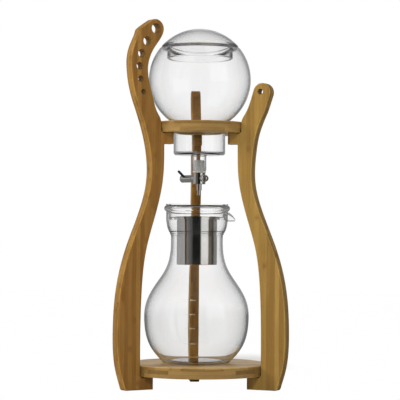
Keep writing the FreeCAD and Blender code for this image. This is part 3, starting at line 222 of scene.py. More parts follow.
# %% Strips and layers
SWAY, HALF_BOARD, ROW_SHIFT = 2.4, 6.0, 0.37
sway = centred(bamboo, grain_noise((0.02, 0.02, 0.008), detail=1.0))
axes = add_node(bamboo, "SeparateXYZ", {0: in_mm}).outputs
across = added(bamboo, axes[0], (sway, SWAY))
layer_share = sum_of(bamboo, "DIVIDE", sum_of(bamboo, "ADD", axes[1], HALF_BOARD), given["Layer"])
layer_number = sum_of(bamboo, "FLOOR", layer_share)
strip_share = sum_of(bamboo, "DIVIDE", across, given["Strip Width"])
strip_share = added(bamboo, strip_share, (layer_number, ROW_SHIFT))
strip_number = sum_of(bamboo, "FLOOR", strip_share)
strip_feeds = {0: strip_number, 1: layer_number, 2: given["Seed"]}
strip_key = add_node(bamboo, "CombineXYZ", strip_feeds).outputs[0]
strip_luck = add_node(bamboo, "TexWhiteNoise", {"Vector": strip_key}).outputs
print("bamboo: strips numbered")

# %% Fibres, knuckles and glue lines
fibres = grain_noise((1.5, 1.5, 0.028), detail=3.0, roughness=0.65)
stain = grain_noise((0.16, 0.16, 0.011), detail=2.0)
dashes = stepped(bamboo, grain_noise((3.4, 3.4, 0.13), detail=1.0), 0.60, 0.74)

KNUCKLE_PITCH, KNUCKLE_EDGE, RIDGE_EDGE = 215.0, (0.8, 5.5), (0.2, 1.0)
luck = add_node(bamboo, "SeparateXYZ", {0: strip_luck["Color"]}).outputs[1]
along = sum_of(bamboo, "ADD", sum_of(bamboo, "DIVIDE", axes[2], KNUCKLE_PITCH), luck)
off_knuckle = product(bamboo, off_middle(bamboo, along), KNUCKLE_PITCH)
knuckle = flipped(bamboo, stepped(bamboo, off_knuckle, *KNUCKLE_EDGE))
ridge = flipped(bamboo, stepped(bamboo, off_knuckle, *RIDGE_EDGE))

GLUE_EDGE, BED_EDGE = (0.468, 0.497), (0.455, 0.495)
glue = stepped(bamboo, off_middle(bamboo, strip_share), *GLUE_EDGE)
bed = stepped(bamboo, off_middle(bamboo, layer_share), *BED_EDGE)
seams = sum_of(bamboo, "MAXIMUM", glue, bed)

KNOT_SHRINK, KNOT_RAGGED, KNOT_EDGE = (0.30, 0.05, 0.075), 0.9, (0.55, 1.75)
knot_gap = vector_sum(bamboo, "SUBTRACT", in_mm, given["Knot Place"])
knot_gap = vector_sum(bamboo, "LENGTH", vector_sum(bamboo, "MULTIPLY", knot_gap, KNOT_SHRINK))
knot_gap = added(bamboo, knot_gap, (stain, KNOT_RAGGED))
knot = flipped(bamboo, stepped(bamboo, knot_gap, *KNOT_EDGE))
print("bamboo: fibres, knuckles, seams and one knot")

# %% Colour, gloss and height of the bamboo
MIDDLE_TONE, SEAM_SHARE, RIDGE_SHARE = 0.42, 0.34, 0.22
RIDGE_BROWN = (0.10, 0.045, 0.016, 1.0)
spread = product(bamboo, centred(bamboo, strip_luck["Value"]), given["Contrast"])
depth = added(
    bamboo, sum_of(bamboo, "ADD", MIDDLE_TONE, spread), (centred(bamboo, fibres), 0.75),
    (centred(bamboo, stain), 0.7), (knuckle, 0.22), (knot, 0.75), (dashes, 0.24),
)
depth = sum_of(bamboo, "MULTIPLY_ADD", seams, SEAM_SHARE, depth, clamp=True)
wood = blended(bamboo, depth, given["Pale"], given["Deep"])
wood = blended(bamboo, product(bamboo, ridge, RIDGE_SHARE), wood, RIDGE_BROWN)
feed(bamboo, made["Color"], wood)
feed(bamboo, made["Roughness"], added(bamboo, 0.30, (fibres, 0.18), (dashes, 0.12)))
relief = added(bamboo, 0.5, (fibres, 0.5), (dashes, -0.35), (seams, -0.5), (ridge, 0.25))
feed(bamboo, made["Height"], relief)
print("bamboo:", len(bamboo.nodes), "nodes")

# %% [markdown]
# ## Rubbed edges
#
# Hands and cloths polish the rounded edges of a board first: the oil wears thin there, so an edge
# is a little paler and glossier than the face beside it. The normal tells where: on a flat side it
# lies along the board's thickness, on the rim across it, and only on the rounding between them does
# it lean. Four times t times one minus t, with t the square of that lean, is 1 in the middle of the
# rounding and 0 on the flats. The same lean finds the sawn rim, which is darker all over: partly
# from the oil that it drinks, and partly as painted shade, by an amount set for each board.

# %% The rubbed edges effect
rubbed, given, made = new_effect(
    "rubbed edges",
    {"Normal": UP, "Flat Side": UP, "Place": ZERO, "Breaks": 60.0},
    ["Mask", "Rim"],
)
PATCH_EDGE, RIM_EDGE = (0.32, 0.62), (0.1, 0.7)
lean = vector_sum(rubbed, "DOT_PRODUCT", given["Normal"], given["Flat Side"])
lean = product(rubbed, lean, lean)
turned_edge = product(rubbed, lean, flipped(rubbed, lean))
turned_edge = product(rubbed, turned_edge, 4.0)
patchy = stepped(rubbed, noise(rubbed, given["Place"], given["Breaks"], detail=3.0), *PATCH_EDGE)
feed(rubbed, made["Mask"], product(rubbed, turned_edge, patchy))
feed(rubbed, made["Rim"], flipped(rubbed, stepped(rubbed, lean, *RIM_EDGE)))
print("rubbed edges:", len(rubbed.nodes), "nodes")

# %% [markdown]
# ## Fine scratches
#
# Steel and glass that are wiped every day are never perfectly clean. Hair-thin marks and a faint
# film break up the gloss. The effect stretches noise along one direction, so a turned piece can
# have its marks run round it, and gives both as masks for colour, roughness or bump.

# %% The fine scratches effect
scratched, given, made = new_effect(
    "fine scratches", {"Place": ZERO, "Stretch": EVEN, "Density": 600.0}, ["Marks", "Film"]
)
FILM_DENSITY, MARKS_EDGE, FILM_EDGE = 34.0, (0.35, 0.75), (0.35, 0.7)
stretched = vector_sum(scratched, "MULTIPLY", given["Place"], given["Stretch"])
fine_marks = noise(scratched, stretched, given["Density"], detail=4.0, roughness=0.7)
feed(scratched, made["Marks"], stepped(scratched, fine_marks, *MARKS_EDGE))
film = noise(scratched, given["Place"], FILM_DENSITY, detail=3.0, roughness=0.6)
feed(scratched, made["Film"], stepped(scratched, film, *FILM_EDGE))
print("fine scratches:", len(scratched.nodes), "nodes")


# %% A material to start from
def new_finish(name):
    """An empty material with a Principled shader; its tree, shader and output."""
    finish = bpy.data.materials.new(name)
    finish.use_nodes = True
    tree = finish.node_tree
    tree.nodes.clear()
    shader = tree.nodes.new("ShaderNodeBsdfPrincipled")
    output = tree.nodes.new("ShaderNodeOutputMaterial")
    tree.links.new(shader.outputs[0], output.inputs["Surface"])
    return finish, tree, shader, output


def raise_height(tree, shader, height, distance, strength):
    """Feed a height through a Bump node into the shader's normal."""
    feeds = {"Height": height, "Distance": distance, "Strength": strength}
    feed(tree, shader.inputs["Normal"], add_node(tree, "Bump", feeds).outputs[0])


def dress_node(name, finish):
    """Put a finish on a solid of the frame."""
    nodes[name].data.materials.clear()
    nodes[name].data.materials.append(finish)


# %% [markdown]
# ## Where the grain runs
#
# The legs stand upright round the axis like a tripod, so each one's wood is turned to its own
# direction before the effect reads it. On the round shelves the fibres run from side to side: there
# the axes are swapped. Each board has its own tones, and a darker tone for its sawn rim, partly oil
# and partly painted shade. The tones carry painted light and shade as well: the tall leg, whose
# face is turned away from the lamp, and the rear leg get a deeper, redder wood; the lit right leg
# gets a paler, yellower one; and the shelves get a pale wood for their lit tops.

# %% Bamboo for one board
EDGE_BREAKS, EDGE_SHARE, EDGE_PALER, EDGE_GLOSS = 45.0, 0.35, 1.15, -0.08
# Rim darkening for each board: partly oil, and partly painted shade on rims that face away from the
# lamp.
RIM_OIL_AND_SHADE = {
    "tall_leg": (0.80, 0.80, 0.80),
    "right_leg": (0.64, 0.61, 0.56),
    "rear_leg": (0.68, 0.64, 0.58),
    "base_shelf": (0.56, 0.54, 0.50),
    "upper_shelf": (0.64, 0.62, 0.57),
}


def board_finish(name, wood, strips, seed, flat_side, turn=0.0, level=None, knot=NO_KNOT):
    """Oiled bamboo for one board, upright and turned, or lying at a level."""
    finish, tree, shader, _ = new_finish(name + " bamboo")
    seat = add_node(tree, "TexCoord").outputs
    if level is None:
        feeds = {"Vector": seat["Object"], "Angle": -turn}
        place = add_node(tree, "VectorRotate", feeds, rotation_type="Z_AXIS").outputs[0]
    else:
        parts = add_node(tree, "SeparateXYZ", {0: seat["Object"]}).outputs
        above = sum_of(tree, "SUBTRACT", parts[2], level)
        place = add_node(tree, "CombineXYZ", {0: parts[1], 1: above, 2: parts[0]}).outputs[0]
    (pale, deep), (width, layer, contrast) = wood, strips
    grain = use_effect(
        tree, bamboo, Place=place, Pale=(*pale, 1.0), Deep=(*deep, 1.0), Strip_Width=width,
        Layer=layer, Contrast=contrast, Seed=seed, Knot_Place=knot,
    )
    edges = use_effect(
        tree, rubbed, Normal=seat["Normal"], Flat_Side=flat_side, Place=seat["Object"],
        Breaks=EDGE_BREAKS,
    )
    # The sawn rim's darker tone: the oil it drinks, plus painted shade.
    rim_oil_shade = vector_sum(tree, "MULTIPLY", grain["Color"], RIM_OIL_AND_SHADE[name])
    colour = blended(tree, edges["Rim"], grain["Color"], rim_oil_shade)
    paler = (*(min(1.0, value * EDGE_PALER) for value in pale), 1.0)
    colour = blended(tree, product(tree, edges["Mask"], EDGE_SHARE), colour, paler)
    gloss = added(tree, grain["Roughness"], (edges["Mask"], EDGE_GLOSS))
    fill_in(tree, shader, Base_Color=colour, Roughness=gloss, IOR=1.47, Specular_IOR_Level=0.22)
    raise_height(tree, shader, grain["Height"], distance=0.00012, strength=0.6)
    return finish


# %% Dress the legs and the shelves
# Painted shade and light: deeper, redder wood for the shaded legs, paler wood for the lit right leg
# and the shelf tops.
SHADE_SIDE_WOOD = (0.41, 0.225, 0.048), (0.19, 0.085, 0.016)
LIT_SIDE_WOOD = (0.43, 0.27, 0.068), (0.21, 0.115, 0.026)
SHELF_WOOD = (0.52, 0.335, 0.115), (0.24, 0.125, 0.034)
LEG_STRIPS, SHELF_STRIPS = (5.4, 4.0, 0.5), (17.0, 4.4, 0.8)
LEGS = {
    "tall_leg": (210.0, 3.0, SHADE_SIDE_WOOD, (109.0, -6.0, 112.0)),
    "right_leg": (330.0, 11.0, LIT_SIDE_WOOD, NO_KNOT),
    "rear_leg": (90.0, 23.0, SHADE_SIDE_WOOD, NO_KNOT),
}
SHELVES = {"base_shelf": (0.022, 31.0), "upper_shelf": (0.3096, 41.0)}
for leg, (azimuth, seed, wood, knot) in LEGS.items():
    turn = radians(azimuth)
    side_way = (-sin(turn), cos(turn), 0.0)
    dress_node(leg, board_finish(leg, wood, LEG_STRIPS, seed, side_way, turn=turn, knot=knot))
for shelf, (level, seed) in SHELVES.items():
    dress_node(shelf, board_finish(shelf, SHELF_WOOD, SHELF_STRIPS, seed, UP, level=level))
print("bamboo on", len(LEGS) + len(SHELVES), "boards")

# %% [markdown]
# ## Clear glass
#
# A clear glass wall is seen by its edges. Light that meets it square goes straight through. Where
# the wall turns away from the eye the path through the glass gets long and the light is bent aside,
# so the outline goes dark. Real thickness gives most of this: each vessel has an outer and an inner
# skin. The rest is painted shade: a Layer Weight node puts a grey tint in the base colour that
# darkens the outline, and a list of stops says how fast it falls off. The carafe's painted outline
# is darker than the ball's, so there are two finishes. A lamp's shadow ray is let through, or all
# behind the glass would stand in the dark.


# %% The glass finish
def let_light_through(finish_parts, colour):
    """Let a lamp's shadow ray through a see-through piece."""
    finish, tree, shader, output = finish_parts
    clear = add_node(tree, "BsdfTransparent", {"Color": (*colour, 1.0)}).outputs[0]
    ray = add_node(tree, "LightPath").outputs["Is Shadow Ray"]
    feed(tree, output.inputs["Surface"], mixed(tree, ray, shader.outputs[0], clear))
    return finish


def glass_finish(name, falloff):
    """Clear borosilicate with a painted grey outline, faint wipe marks and a light shadow."""
    parts = finish, tree, shader, output = new_finish(name)
    fill_in(tree, shader, Transmission_Weight=1.0, IOR=1.47, Metallic=0.0)
    facing = add_node(tree, "LayerWeight", {"Blend": 0.5}).outputs["Facing"]
    # Painted shade: a grey in the base colour that darkens the outline as the wall turns away.
    outline_shade = grey_ramp(tree, facing, falloff)
    place = add_node(tree, "TexCoord").outputs["Object"]
    marks = use_effect(tree, scratched, Place=place, Stretch=(1.0, 1.0, 2.5), Density=420.0)
    gloss = product(tree, marks["Film"], 0.012)
    fill_in(tree, shader, Base_Color=outline_shade, Roughness=gloss)
    ripple = noise(tree, place, 38.0, detail=1.0)
    raise_height(tree, shader, ripple, distance=0.0004, strength=0.35)
    return let_light_through(parts, (0.93, 0.94, 0.94))


FACING_US = [(0.0, 1.0), (0.15, 0.995), (0.40, 0.945), (0.55, 0.90)]
BALL_OUTLINE_SHADE = FACING_US + [(0.68, 0.85), (0.80, 0.70), (0.90, 0.50), (1.0, 0.20)]
CARAFE_OUTLINE_SHADE = FACING_US + [(0.66, 0.85), (0.76, 0.62), (0.86, 0.32), (1.0, 0.08)]
clear_glass = glass_finish("clear borosilicate", BALL_OUTLINE_SHADE)
carafe_glass = glass_finish("carafe borosilicate", CARAFE_OUTLINE_SHADE)
print("glass:", clear_glass.name, "and", carafe_glass.name)

# %% [markdown]
# ## Turning glass on a lathe
#
# The globe, its lid and the carafe are blown and turned, so each is one closed outline spun round
# the axis. The solids in the frame have the same outlines but are cut into coarse facets, and in
# glass every facet shows. So each outline is drawn again with fine arcs, spun with many steps, and
# the new piece stands for the solid. An outline is a list of (radius, height) points in
# millimetres, from straight runs, arcs and one smooth curve.


# %% Helpers for outlines
def arc_points(centre, radius, start, end, steps):
    """Points along an arc, its angles in degrees from the outward direction."""
    points = []
    for index in range(steps + 1):
        angle = radians(start + (end - start) * index / steps)
        points.append((centre[0] + radius * cos(angle), centre[1] + radius * sin(angle)))
    return points


def rounded(radius, height, rounding, start, end, steps):
    """The rounding of a square corner at (radius, height), as an arc between two angles."""
    out = round(cos(radians(start)) + cos(radians(end))) * rounding
    up = round(sin(radians(start)) + sin(radians(end))) * rounding
    return arc_points((radius - out, height - up), rounding, start, end, steps)


def curve_bends(chords, values):
    """Second derivatives of a natural cubic spline at its stations."""
    count = len(values)
    bends, carry = [0.0] * count, [0.0] * count
    for index in range(1, count - 1):
        before = chords[index] - chords[index - 1]
        after = chords[index + 1] - chords[index]
        share = before / (before + after)
        weight = share * bends[index - 1] + 2.0
        bends[index] = (share - 1.0) / weight
        jump = (values[index + 1] - values[index]) / after
        jump -= (values[index] - values[index - 1]) / before
        carry[index] = (6.0 * jump / (before + after) - share * carry[index - 1]) / weight
    for index in range(count - 2, -1, -1):
        bends[index] = bends[index] * bends[index + 1] + carry[index]
    return bends


def smooth_through(stations, steps):
    """A cubic curve through the stations; its slope and bend carry on at each."""
    chords = [0.0]
    for first, second in zip(stations, stations[1:]):
        chords.append(chords[-1] + dist(first, second))
    bends = [curve_bends(chords, values) for values in zip(*stations)]
    points = []
    for span in range(len(stations) - 1):
        width = chords[span + 1] - chords[span]
        for index in range(steps):
            b = index / steps
            a = 1.0 - b
            point = []
            for axis in (0, 1):
                bend = (a ** 3 - a) * bends[axis][span] + (b ** 3 - b) * bends[axis][span + 1]
                straight = a * stations[span][axis] + b * stations[span + 1][axis]
                point.append(straight + bend * width ** 2 / 6.0)
            points.append(tuple(point))
    return points + [stations[-1]]


# %% Helpers for meshes
def into_scene(name, data):
    """An object for a mesh, curve, lamp or camera, in the scene."""
    item = bpy.data.objects.new(name, data)
    bpy.context.scene.collection.objects.link(item)
    return item


def new_piece(name, mesh, finish, body):
    """Put a mesh into the scene as a piece that rides on a body."""
    piece = into_scene(name, mesh)
    mesh.materials.append(finish)
    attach(piece, body)
    return piece


def smooth_faces(mesh, angle):
    """Shade all faces smooth and keep edges sharper than the angle crisp."""
    mesh.polygons.foreach_set("use_smooth", [True] * len(mesh.polygons))
    mesh.set_sharp_from_angle(angle=radians(angle))


def evaluated_mesh(item):
    """The mesh that an object shows, with its modifiers or as filled letters."""
    graph = bpy.context.evaluated_depsgraph_get()
    return bpy.data.meshes.new_from_object(item.evaluated_get(graph))


def worked_mesh(name, work):
    """The mesh of worked vertices and faces."""
    mesh = bpy.data.meshes.new(name)
    work.to_mesh(mesh)
    work.free()
    return mesh


def bridge(work, first, second):
    """Faces between two rings of vertices, of which one may be a single point."""
    turns = max(len(first), len(second))
    for step in range(turns if turns > 1 else 0):
        after = (step + 1) % turns
        if len(first) == 1:
            work.faces.new((first[0], second[after], second[step]))
        elif len(second) == 1:
            work.faces.new((first[step], first[after], second[0]))
        else:
            work.faces.new((first[step], first[after], second[after], second[step]))


def spin(name, outline, lift=0.0, turns=320):
    """Spin a closed outline of (radius, height) millimetres about the axis."""
    work = bmesh.new()
    rings = []
    for radius, height in outline:
        level = (height + lift) * MM
        ring = []
        for step in range(turns if radius >= 0.001 else 1):
            angle = 2.0 * pi * step / turns
            ring.append(work.verts.new((radius * MM * cos(angle), radius * MM * sin(angle), level)))
        rings.append(ring)
    for first, second in zip(rings, rings[1:] + rings[:1]):
        bridge(work, first, second)
    bmesh.ops.recalc_face_normals(work, faces=work.faces)
    return worked_mesh(name, work)


# %% [markdown]
# ## The water globe
#
# A ball of glass with a wide mouth and a straight neck below. The neck stops in a flat bottom with
# a short outlet stub, where the tap plugs in. Blown glass has no sharp corner, so the rim of the
# mouth, the turn of the neck's bottom and the root of the stub get small radii. Where a flat meets
# the ball, the centre of the rounding lies one rounding below the flat and one rounding inside the
# ball.

# %% Measures and helpers for the globe
GLOBE_CENTRE = 367.94
GLOBE, WALL = 61.2, 2.2
MOUTH, MOUTH_HOLE, MOUTH_ROUND = 406.84, 40.2, 6.0
NECK, NECK_BOTTOM, NECK_ROUND, INNER_ROUND = 31.0, 277.3, 3.0, 1.9
NECK_TURN, INNER_TURN = [(0.25, 314.4), (0.0, 313.0)], [(0.0, 314.6), (0.3, 316.0)]
NECK_LEAVES, INNER_LEAVES = 0.9, 1.0
STUB, STUB_BORE, STUB_END, STUB_ROUND, BORE_ROUND = 8.4, 6.5, 258.7, 0.6, 1.0
LIP, MELT = 0.85, 1.6


def ball_corner(ball, level, rounding):
    """The rounding from a flat to the ball that it is cut across."""
    height = level - rounding - GLOBE_CENTRE
    middle = sqrt((ball - rounding) ** 2 - height ** 2)
    angle = degrees(asin(height / (ball - rounding)))
    return arc_points((middle, level - rounding), rounding, 90.0, angle, 10), angle


def ball_run(ball, start, neck, steps=110):
    """The ball's own arc from an angle down to where the neck leaves it."""
    end = -90.0 + degrees(asin(neck / ball))
    return arc_points((0.0, GLOBE_CENTRE), ball, start, end, steps)


print("globe:", 2.0 * GLOBE, "mm across, mouth", 2.0 * MOUTH_HOLE, "mm")

# %% Outline of the globe
outside, shoulder = ball_corner(GLOBE, MOUTH, MOUTH_ROUND)
inside, inner_shoulder = ball_corner(GLOBE - WALL, MOUTH - WALL, MOUTH_ROUND - WALL)
inner_neck, inner_bottom = NECK - WALL, NECK_BOTTOM + WALL
globe_outline = (
    rounded(MOUTH_HOLE, MOUTH, LIP, 180.0, 90.0, 5)
    + outside
    + ball_run(GLOBE, shoulder, NECK + NECK_LEAVES)
    + [(NECK + out, level) for out, level in NECK_TURN]
    + [(NECK, NECK_BOTTOM + NECK_ROUND)]
    + rounded(NECK, NECK_BOTTOM, NECK_ROUND, 0.0, -90.0, 10)
    + rounded(STUB, NECK_BOTTOM, MELT, 90.0, 180.0, 6)
    + rounded(STUB, STUB_END, STUB_ROUND, 0.0, -90.0, 4)
    + rounded(STUB_BORE, STUB_END, STUB_ROUND, -90.0, -180.0, 4)
    + rounded(STUB_BORE, inner_bottom, BORE_ROUND, 180.0, 90.0, 5)
    + rounded(inner_neck, inner_bottom, INNER_ROUND, -90.0, 0.0, 8)
    + [(inner_neck + out, level) for out, level in INNER_TURN]
    + ball_run(GLOBE - WALL, inner_shoulder, inner_neck + INNER_LEAVES)[::-1]
    + inside[::-1]
    + rounded(MOUTH_HOLE, MOUTH - WALL, LIP, -90.0, -180.0, 5)
)
print("globe:", len(globe_outline), "outline points")

# %% Spin the globe
CRISP_TURNED = 40.0
globe_mesh = spin("globe_glass", globe_outline)
smooth_faces(globe_mesh, CRISP_TURNED)
globe = new_piece("globe_glass", globe_mesh, clear_glass, "globe")
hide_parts("water_globe")
print("globe:", len(globe_mesh.polygons), "faces")

# %% [markdown]
# ## The lid
#
# The lid carries the ball's curve on over the mouth, so that the two read as one sphere with a
# seam. Below its rim a plug wall drops into the mouth and keeps the lid from sliding off. Cap, flat
# rim and plug wall share one closed outline.

# %% Outline of the lid
LID_LEVEL, LID_WALL, CAP_ROUND, CAP_RISE = 407.14, 2.2, 0.6, 0.3
PLUG, PLUG_INSIDE, PLUG_DEPTH, PLUG_ROOT, PLUG_ROUND = 39.4, 36.8, 14.0, 1.1, 1.17
RIM_TURN = [(0.12, 0.45), (-0.1, 0.95)]
RIM_HIGH, RIM_IN = 1.3, 0.75


def cap_run(ball, level, steps=56):
    """The ball's arc from its crown down to a level."""
    height = level - GLOBE_CENTRE
    end = degrees(atan2(height, sqrt(ball ** 2 - height ** 2)))
    return arc_points((0.0, GLOBE_CENTRE), ball, 90.0, end, steps)


rim_top = LID_LEVEL + RIM_HIGH
plug_end = LID_LEVEL - PLUG_DEPTH
inside_level = LID_LEVEL + LID_WALL
lid_outline = cap_run(GLOBE, rim_top)
rim = lid_outline[-1][0]
lid_outline += (
    [(rim + out, rim_top - down) for out, down in RIM_TURN]
    + [(rim - RIM_IN, LID_LEVEL)]
    + rounded(PLUG, LID_LEVEL, PLUG_ROOT, 90.0, 180.0, 6)
    + rounded(PLUG, plug_end, PLUG_ROUND, 0.0, -90.0, 6)
    + rounded(PLUG_INSIDE, plug_end, PLUG_ROUND, -90.0, -180.0, 6)
    + rounded(PLUG_INSIDE, inside_level, CAP_ROUND, 180.0, 90.0, 4)
    + cap_run(GLOBE - LID_WALL, inside_level + CAP_RISE)[::-1]
)
print("lid:", len(lid_outline), "outline points")

# %% Spin the lid
lid_mesh = spin("lid_glass", lid_outline)
smooth_faces(lid_mesh, CRISP_TURNED)
lid = new_piece("lid_glass", lid_mesh, clear_glass, "lid")
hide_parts("globe_lid")
print("lid:", len(lid_mesh.polygons), "faces")

# %% [markdown]
# ## The carafe
#
# The carafe's side is one long S: out over the foot, round the belly, in to the neck, and out again
# to the mouth. Where the mouth begins to swell, the glass was nipped before it was opened, which
# leaves a shallow crease. The foot is pushed in a little, so that it stands on a ring and doesn't
# rock. A smooth curve through a few stations gives the outer skin, and the inner skin is the same
# curve moved in along its normals by the wall's thickness.

# %% Measures of the carafe
CARAFE_BASE, CARAFE_HEIGHT, CARAFE_WALL = 28.6, 188.5, 2.2
CARAFE_ASIDE, CARAFE_TURNS = -2.3, 272
FOOT, PUNT, PUNT_WIDTH, FLAT_RADII = 37.0, 1.6, 8.0, (0.0, 12.0, 22.0)
CREASE_LEVEL, CREASE_DEPTH, CREASE_WIDTH = 155.6, 0.45, 1.1
MOUTH_RADIUS, RIM_RADIUS, RIM_DEPTH, RIM_LEAN = 37.0, 39.5, 7.2, 0.2
SIDE = [
    (42.0, 2.75), (55.4, 20.1), (62.4, 48.0), (60.8, 70.4),
    (50.3, 92.0), (36.7, 113.5), (31.4, 135.1), (31.2, 152.2),
]
SWELL = [(31.2, 152.2), (35.1, 160.5), (37.0, 170.5)]
SIDE_STEPS, SWELL_STEPS = 12, 26
print("carafe:", CARAFE_HEIGHT, "mm tall,", 2.0 * max(SIDE)[0], "mm across")


# %% Outer and inner skin
def crease_in(point):
    """A point of the mouth's swell, pressed in where the glass was nipped."""
    off = (point[1] - CREASE_LEVEL) / CREASE_WIDTH
    return (point[0] - CREASE_DEPTH * max(0.0, 1.0 - off * off) ** 2, point[1])


def moved_in(curve, inset):
    """A curve's points, each moved in along the normal that its neighbours give."""
    moved = []
    for index, (radius, height) in enumerate(curve):
        before = curve[max(index - 1, 0)]
        after = curve[min(index + 1, len(curve) - 1)]
        along_r, along_h = after[0] - before[0], after[1] - before[1]
        length = dist(before, after)
        moved.append((radius - along_h / length * inset, height + along_r / length * inset))
    return moved


side = smooth_through(SIDE, SIDE_STEPS)
swell = [crease_in(point) for point in smooth_through(SWELL, SWELL_STEPS)]
inner_side, inner_swell = moved_in(side, CARAFE_WALL), moved_in(swell, CARAFE_WALL)
crease = tuple((low + high) / 2.0 for low, high in zip(inner_side[-1], inner_swell[0]))
side_way = Vector((side[1][0] - side[0][0], side[1][1] - side[0][1])).normalized()
print("carafe: side", len(side), "points, swell", len(swell))


# %% The pushed-in foot
def bent_run(start, start_way, end, end_way, steps=8):
    """A cubic from start to end that leaves and arrives along the two ways."""
    reach = dist(start, end) / 3.0
    first = (start[0] + start_way[0] * reach, start[1] + start_way[1] * reach)
    second = (end[0] - end_way[0] * reach, end[1] - end_way[1] * reach)
    points = []
    for index in range(steps + 1):
        b = index / steps
        a = 1.0 - b
        shares = (a ** 3, 3 * a * a * b, 3 * a * b * b, b ** 3)
        pulls = list(zip(shares, (start, first, second, end)))
        points.append(tuple(sum(share * pull[axis] for share, pull in pulls) for axis in (0, 1)))
    return points


def foot_run(inset, side_start, way):
    """The pushed-in bottom, the ring to stand on and the turn into the side."""
    foot, middle = FOOT - inset / 2.0, PUNT + inset
    ring = bent_run((foot - PUNT_WIDTH, middle), (1.0, 0.0), (foot, inset), (1.0, 0.0))
    turn = bent_run((foot, inset), (1.0, 0.0), side_start, way)
    return [(radius, middle) for radius in FLAT_RADII] + ring + turn[1:-1]


outer_foot = foot_run(0.0, side[0], side_way)
inner_foot = foot_run(CARAFE_WALL, inner_side[0], side_way)
print("foot:", len(outer_foot), "points")


# %% Rolled rim and closed outline
def arc_through(first, middle, last, steps=18):
    """Points along the arc through three points."""
    ax, ay = middle[0] - first[0], middle[1] - first[1]
    bx, by = last[0] - first[0], last[1] - first[1]
    twice = 2.0 * (ax * by - ay * bx)
    a, b = ax * ax + ay * ay, bx * bx + by * by
    centre = (first[0] + (by * a - ay * b) / twice, first[1] + (ax * b - bx * a) / twice)
    start, end = (degrees(atan2(y - centre[1], x - centre[0])) for x, y in (first, last))
    way = -1.0 if twice < 0.0 else 1.0
    turned = (way * (end - start)) % 360.0
    return arc_points(centre, dist(first, centre), start, start + way * turned, steps)


rim_level = CARAFE_HEIGHT - RIM_DEPTH
inner_mouth = MOUTH_RADIUS - CARAFE_WALL
half_rim = (RIM_RADIUS - inner_mouth) / 2.0
rim_middle = (inner_mouth + half_rim, CARAFE_HEIGHT)
outer_bend = (RIM_RADIUS, CARAFE_HEIGHT - RIM_DEPTH / 2.0)
inner_bend = (inner_mouth + half_rim * RIM_LEAN, CARAFE_HEIGHT - half_rim)
outer_roll = arc_through((MOUTH_RADIUS, rim_level), outer_bend, rim_middle)
inner_roll = arc_through(rim_middle, inner_bend, (inner_mouth, rim_level))
carafe_outline = outer_foot + side[:-1] + swell + outer_roll + inner_roll[1:]
carafe_outline += inner_swell[1:][::-1] + [crease] + inner_side[:-1][::-1] + inner_foot[::-1]
carafe_mesh = spin("carafe_glass", carafe_outline, CARAFE_BASE, CARAFE_TURNS)
print("carafe:", len(carafe_outline), "outline points,", len(carafe_mesh.polygons), "faces")

# %% [markdown]
# ## The beak
#
# The pouring beak is drawn out of the mouth's wall while the glass is soft: a tall oval below the
# rim that droops to a small open tip. One run of ovals makes the outside, which is joined to the
# carafe, and a smaller run is cut away again for the way that the coffee takes.

# %% Ovals of the beak
BEAK_TOP, BEAK_BOTTOM = CARAFE_HEIGHT - 7.6, CARAFE_HEIGHT - 19.2
BEAK_REACH, BEAK_TIP, BEAK_WIDTH = 46.0, CARAFE_HEIGHT - 18.3, 13.0
BEAK_SAG, BEAK_WALL, TIP_THINNER, BEAK_SIDES, BEAK_STEPS = 0.6, 1.54, 0.35, 40, 6
BEAK_ROOT, WAY_ROOT = MOUTH_RADIUS - 1.76, MOUTH_RADIUS - 5.5
BEAK_FALLS = [(0.0, 0.0), (0.35, 0.13), (0.7, 0.42), (1.0, 0.80)]
BEAK_WIDTHS = [(0.0, 1.0), (0.35, 0.80), (0.7, 0.52), (1.0, 0.26)]


def beak_mesh(name, root, thinner):
    """A closed run of ovals from the root to the tip, thinner by a wall."""
    falls = smooth_through(BEAK_FALLS, BEAK_STEPS)
    widths = smooth_through(BEAK_WIDTHS, BEAK_STEPS)
    work = bmesh.new()
    rings = []
    for (share, fall), (_, width) in zip(falls, widths):
        wall = thinner * (1.0 - TIP_THINNER * share)
        top = BEAK_TOP - (BEAK_TOP - BEAK_TIP) * fall
        bottom = BEAK_BOTTOM + (BEAK_TIP - BEAK_BOTTOM) * share - BEAK_SAG * share
        tall, wide = (top - bottom) / 2.0 - wall, BEAK_WIDTH * width / 2.0 - wall
        reach = root + (BEAK_REACH - root) * share
        ring = []
        for step in range(BEAK_SIDES):
            angle = 2.0 * pi * step / BEAK_SIDES
            level = (top + bottom) / 2.0 + tall * sin(angle) + CARAFE_BASE
            ring.append(work.verts.new((reach * MM, wide * cos(angle) * MM, level * MM)))
        rings.append(ring)
    for first, second in zip(rings, rings[1:]):
        bridge(work, first, second)
    work.faces.new(rings[0])
    work.faces.new(rings[-1])
    bmesh.ops.recalc_face_normals(work, faces=work.faces)
    return worked_mesh(name, work)


def carve(mesh, tool_mesh, operation):
    """Join a tool to a mesh or cut it away; the new mesh."""
    base, tool = into_scene("carving", mesh), into_scene("carving_tool", tool_mesh)
    step = base.modifiers.new("carve", "BOOLEAN")
    step.operation, step.object, step.solver = operation, tool, "EXACT"
    result = evaluated_mesh(base)
    for item in (base, tool):
        bpy.data.objects.remove(item)
    return result


spout = beak_mesh("beak_outside", BEAK_ROOT, 0.0)
way = beak_mesh("beak_way", WAY_ROOT, BEAK_WALL)
print("beak:", len(spout.polygons), "faces outside,", len(way.polygons), "inside")

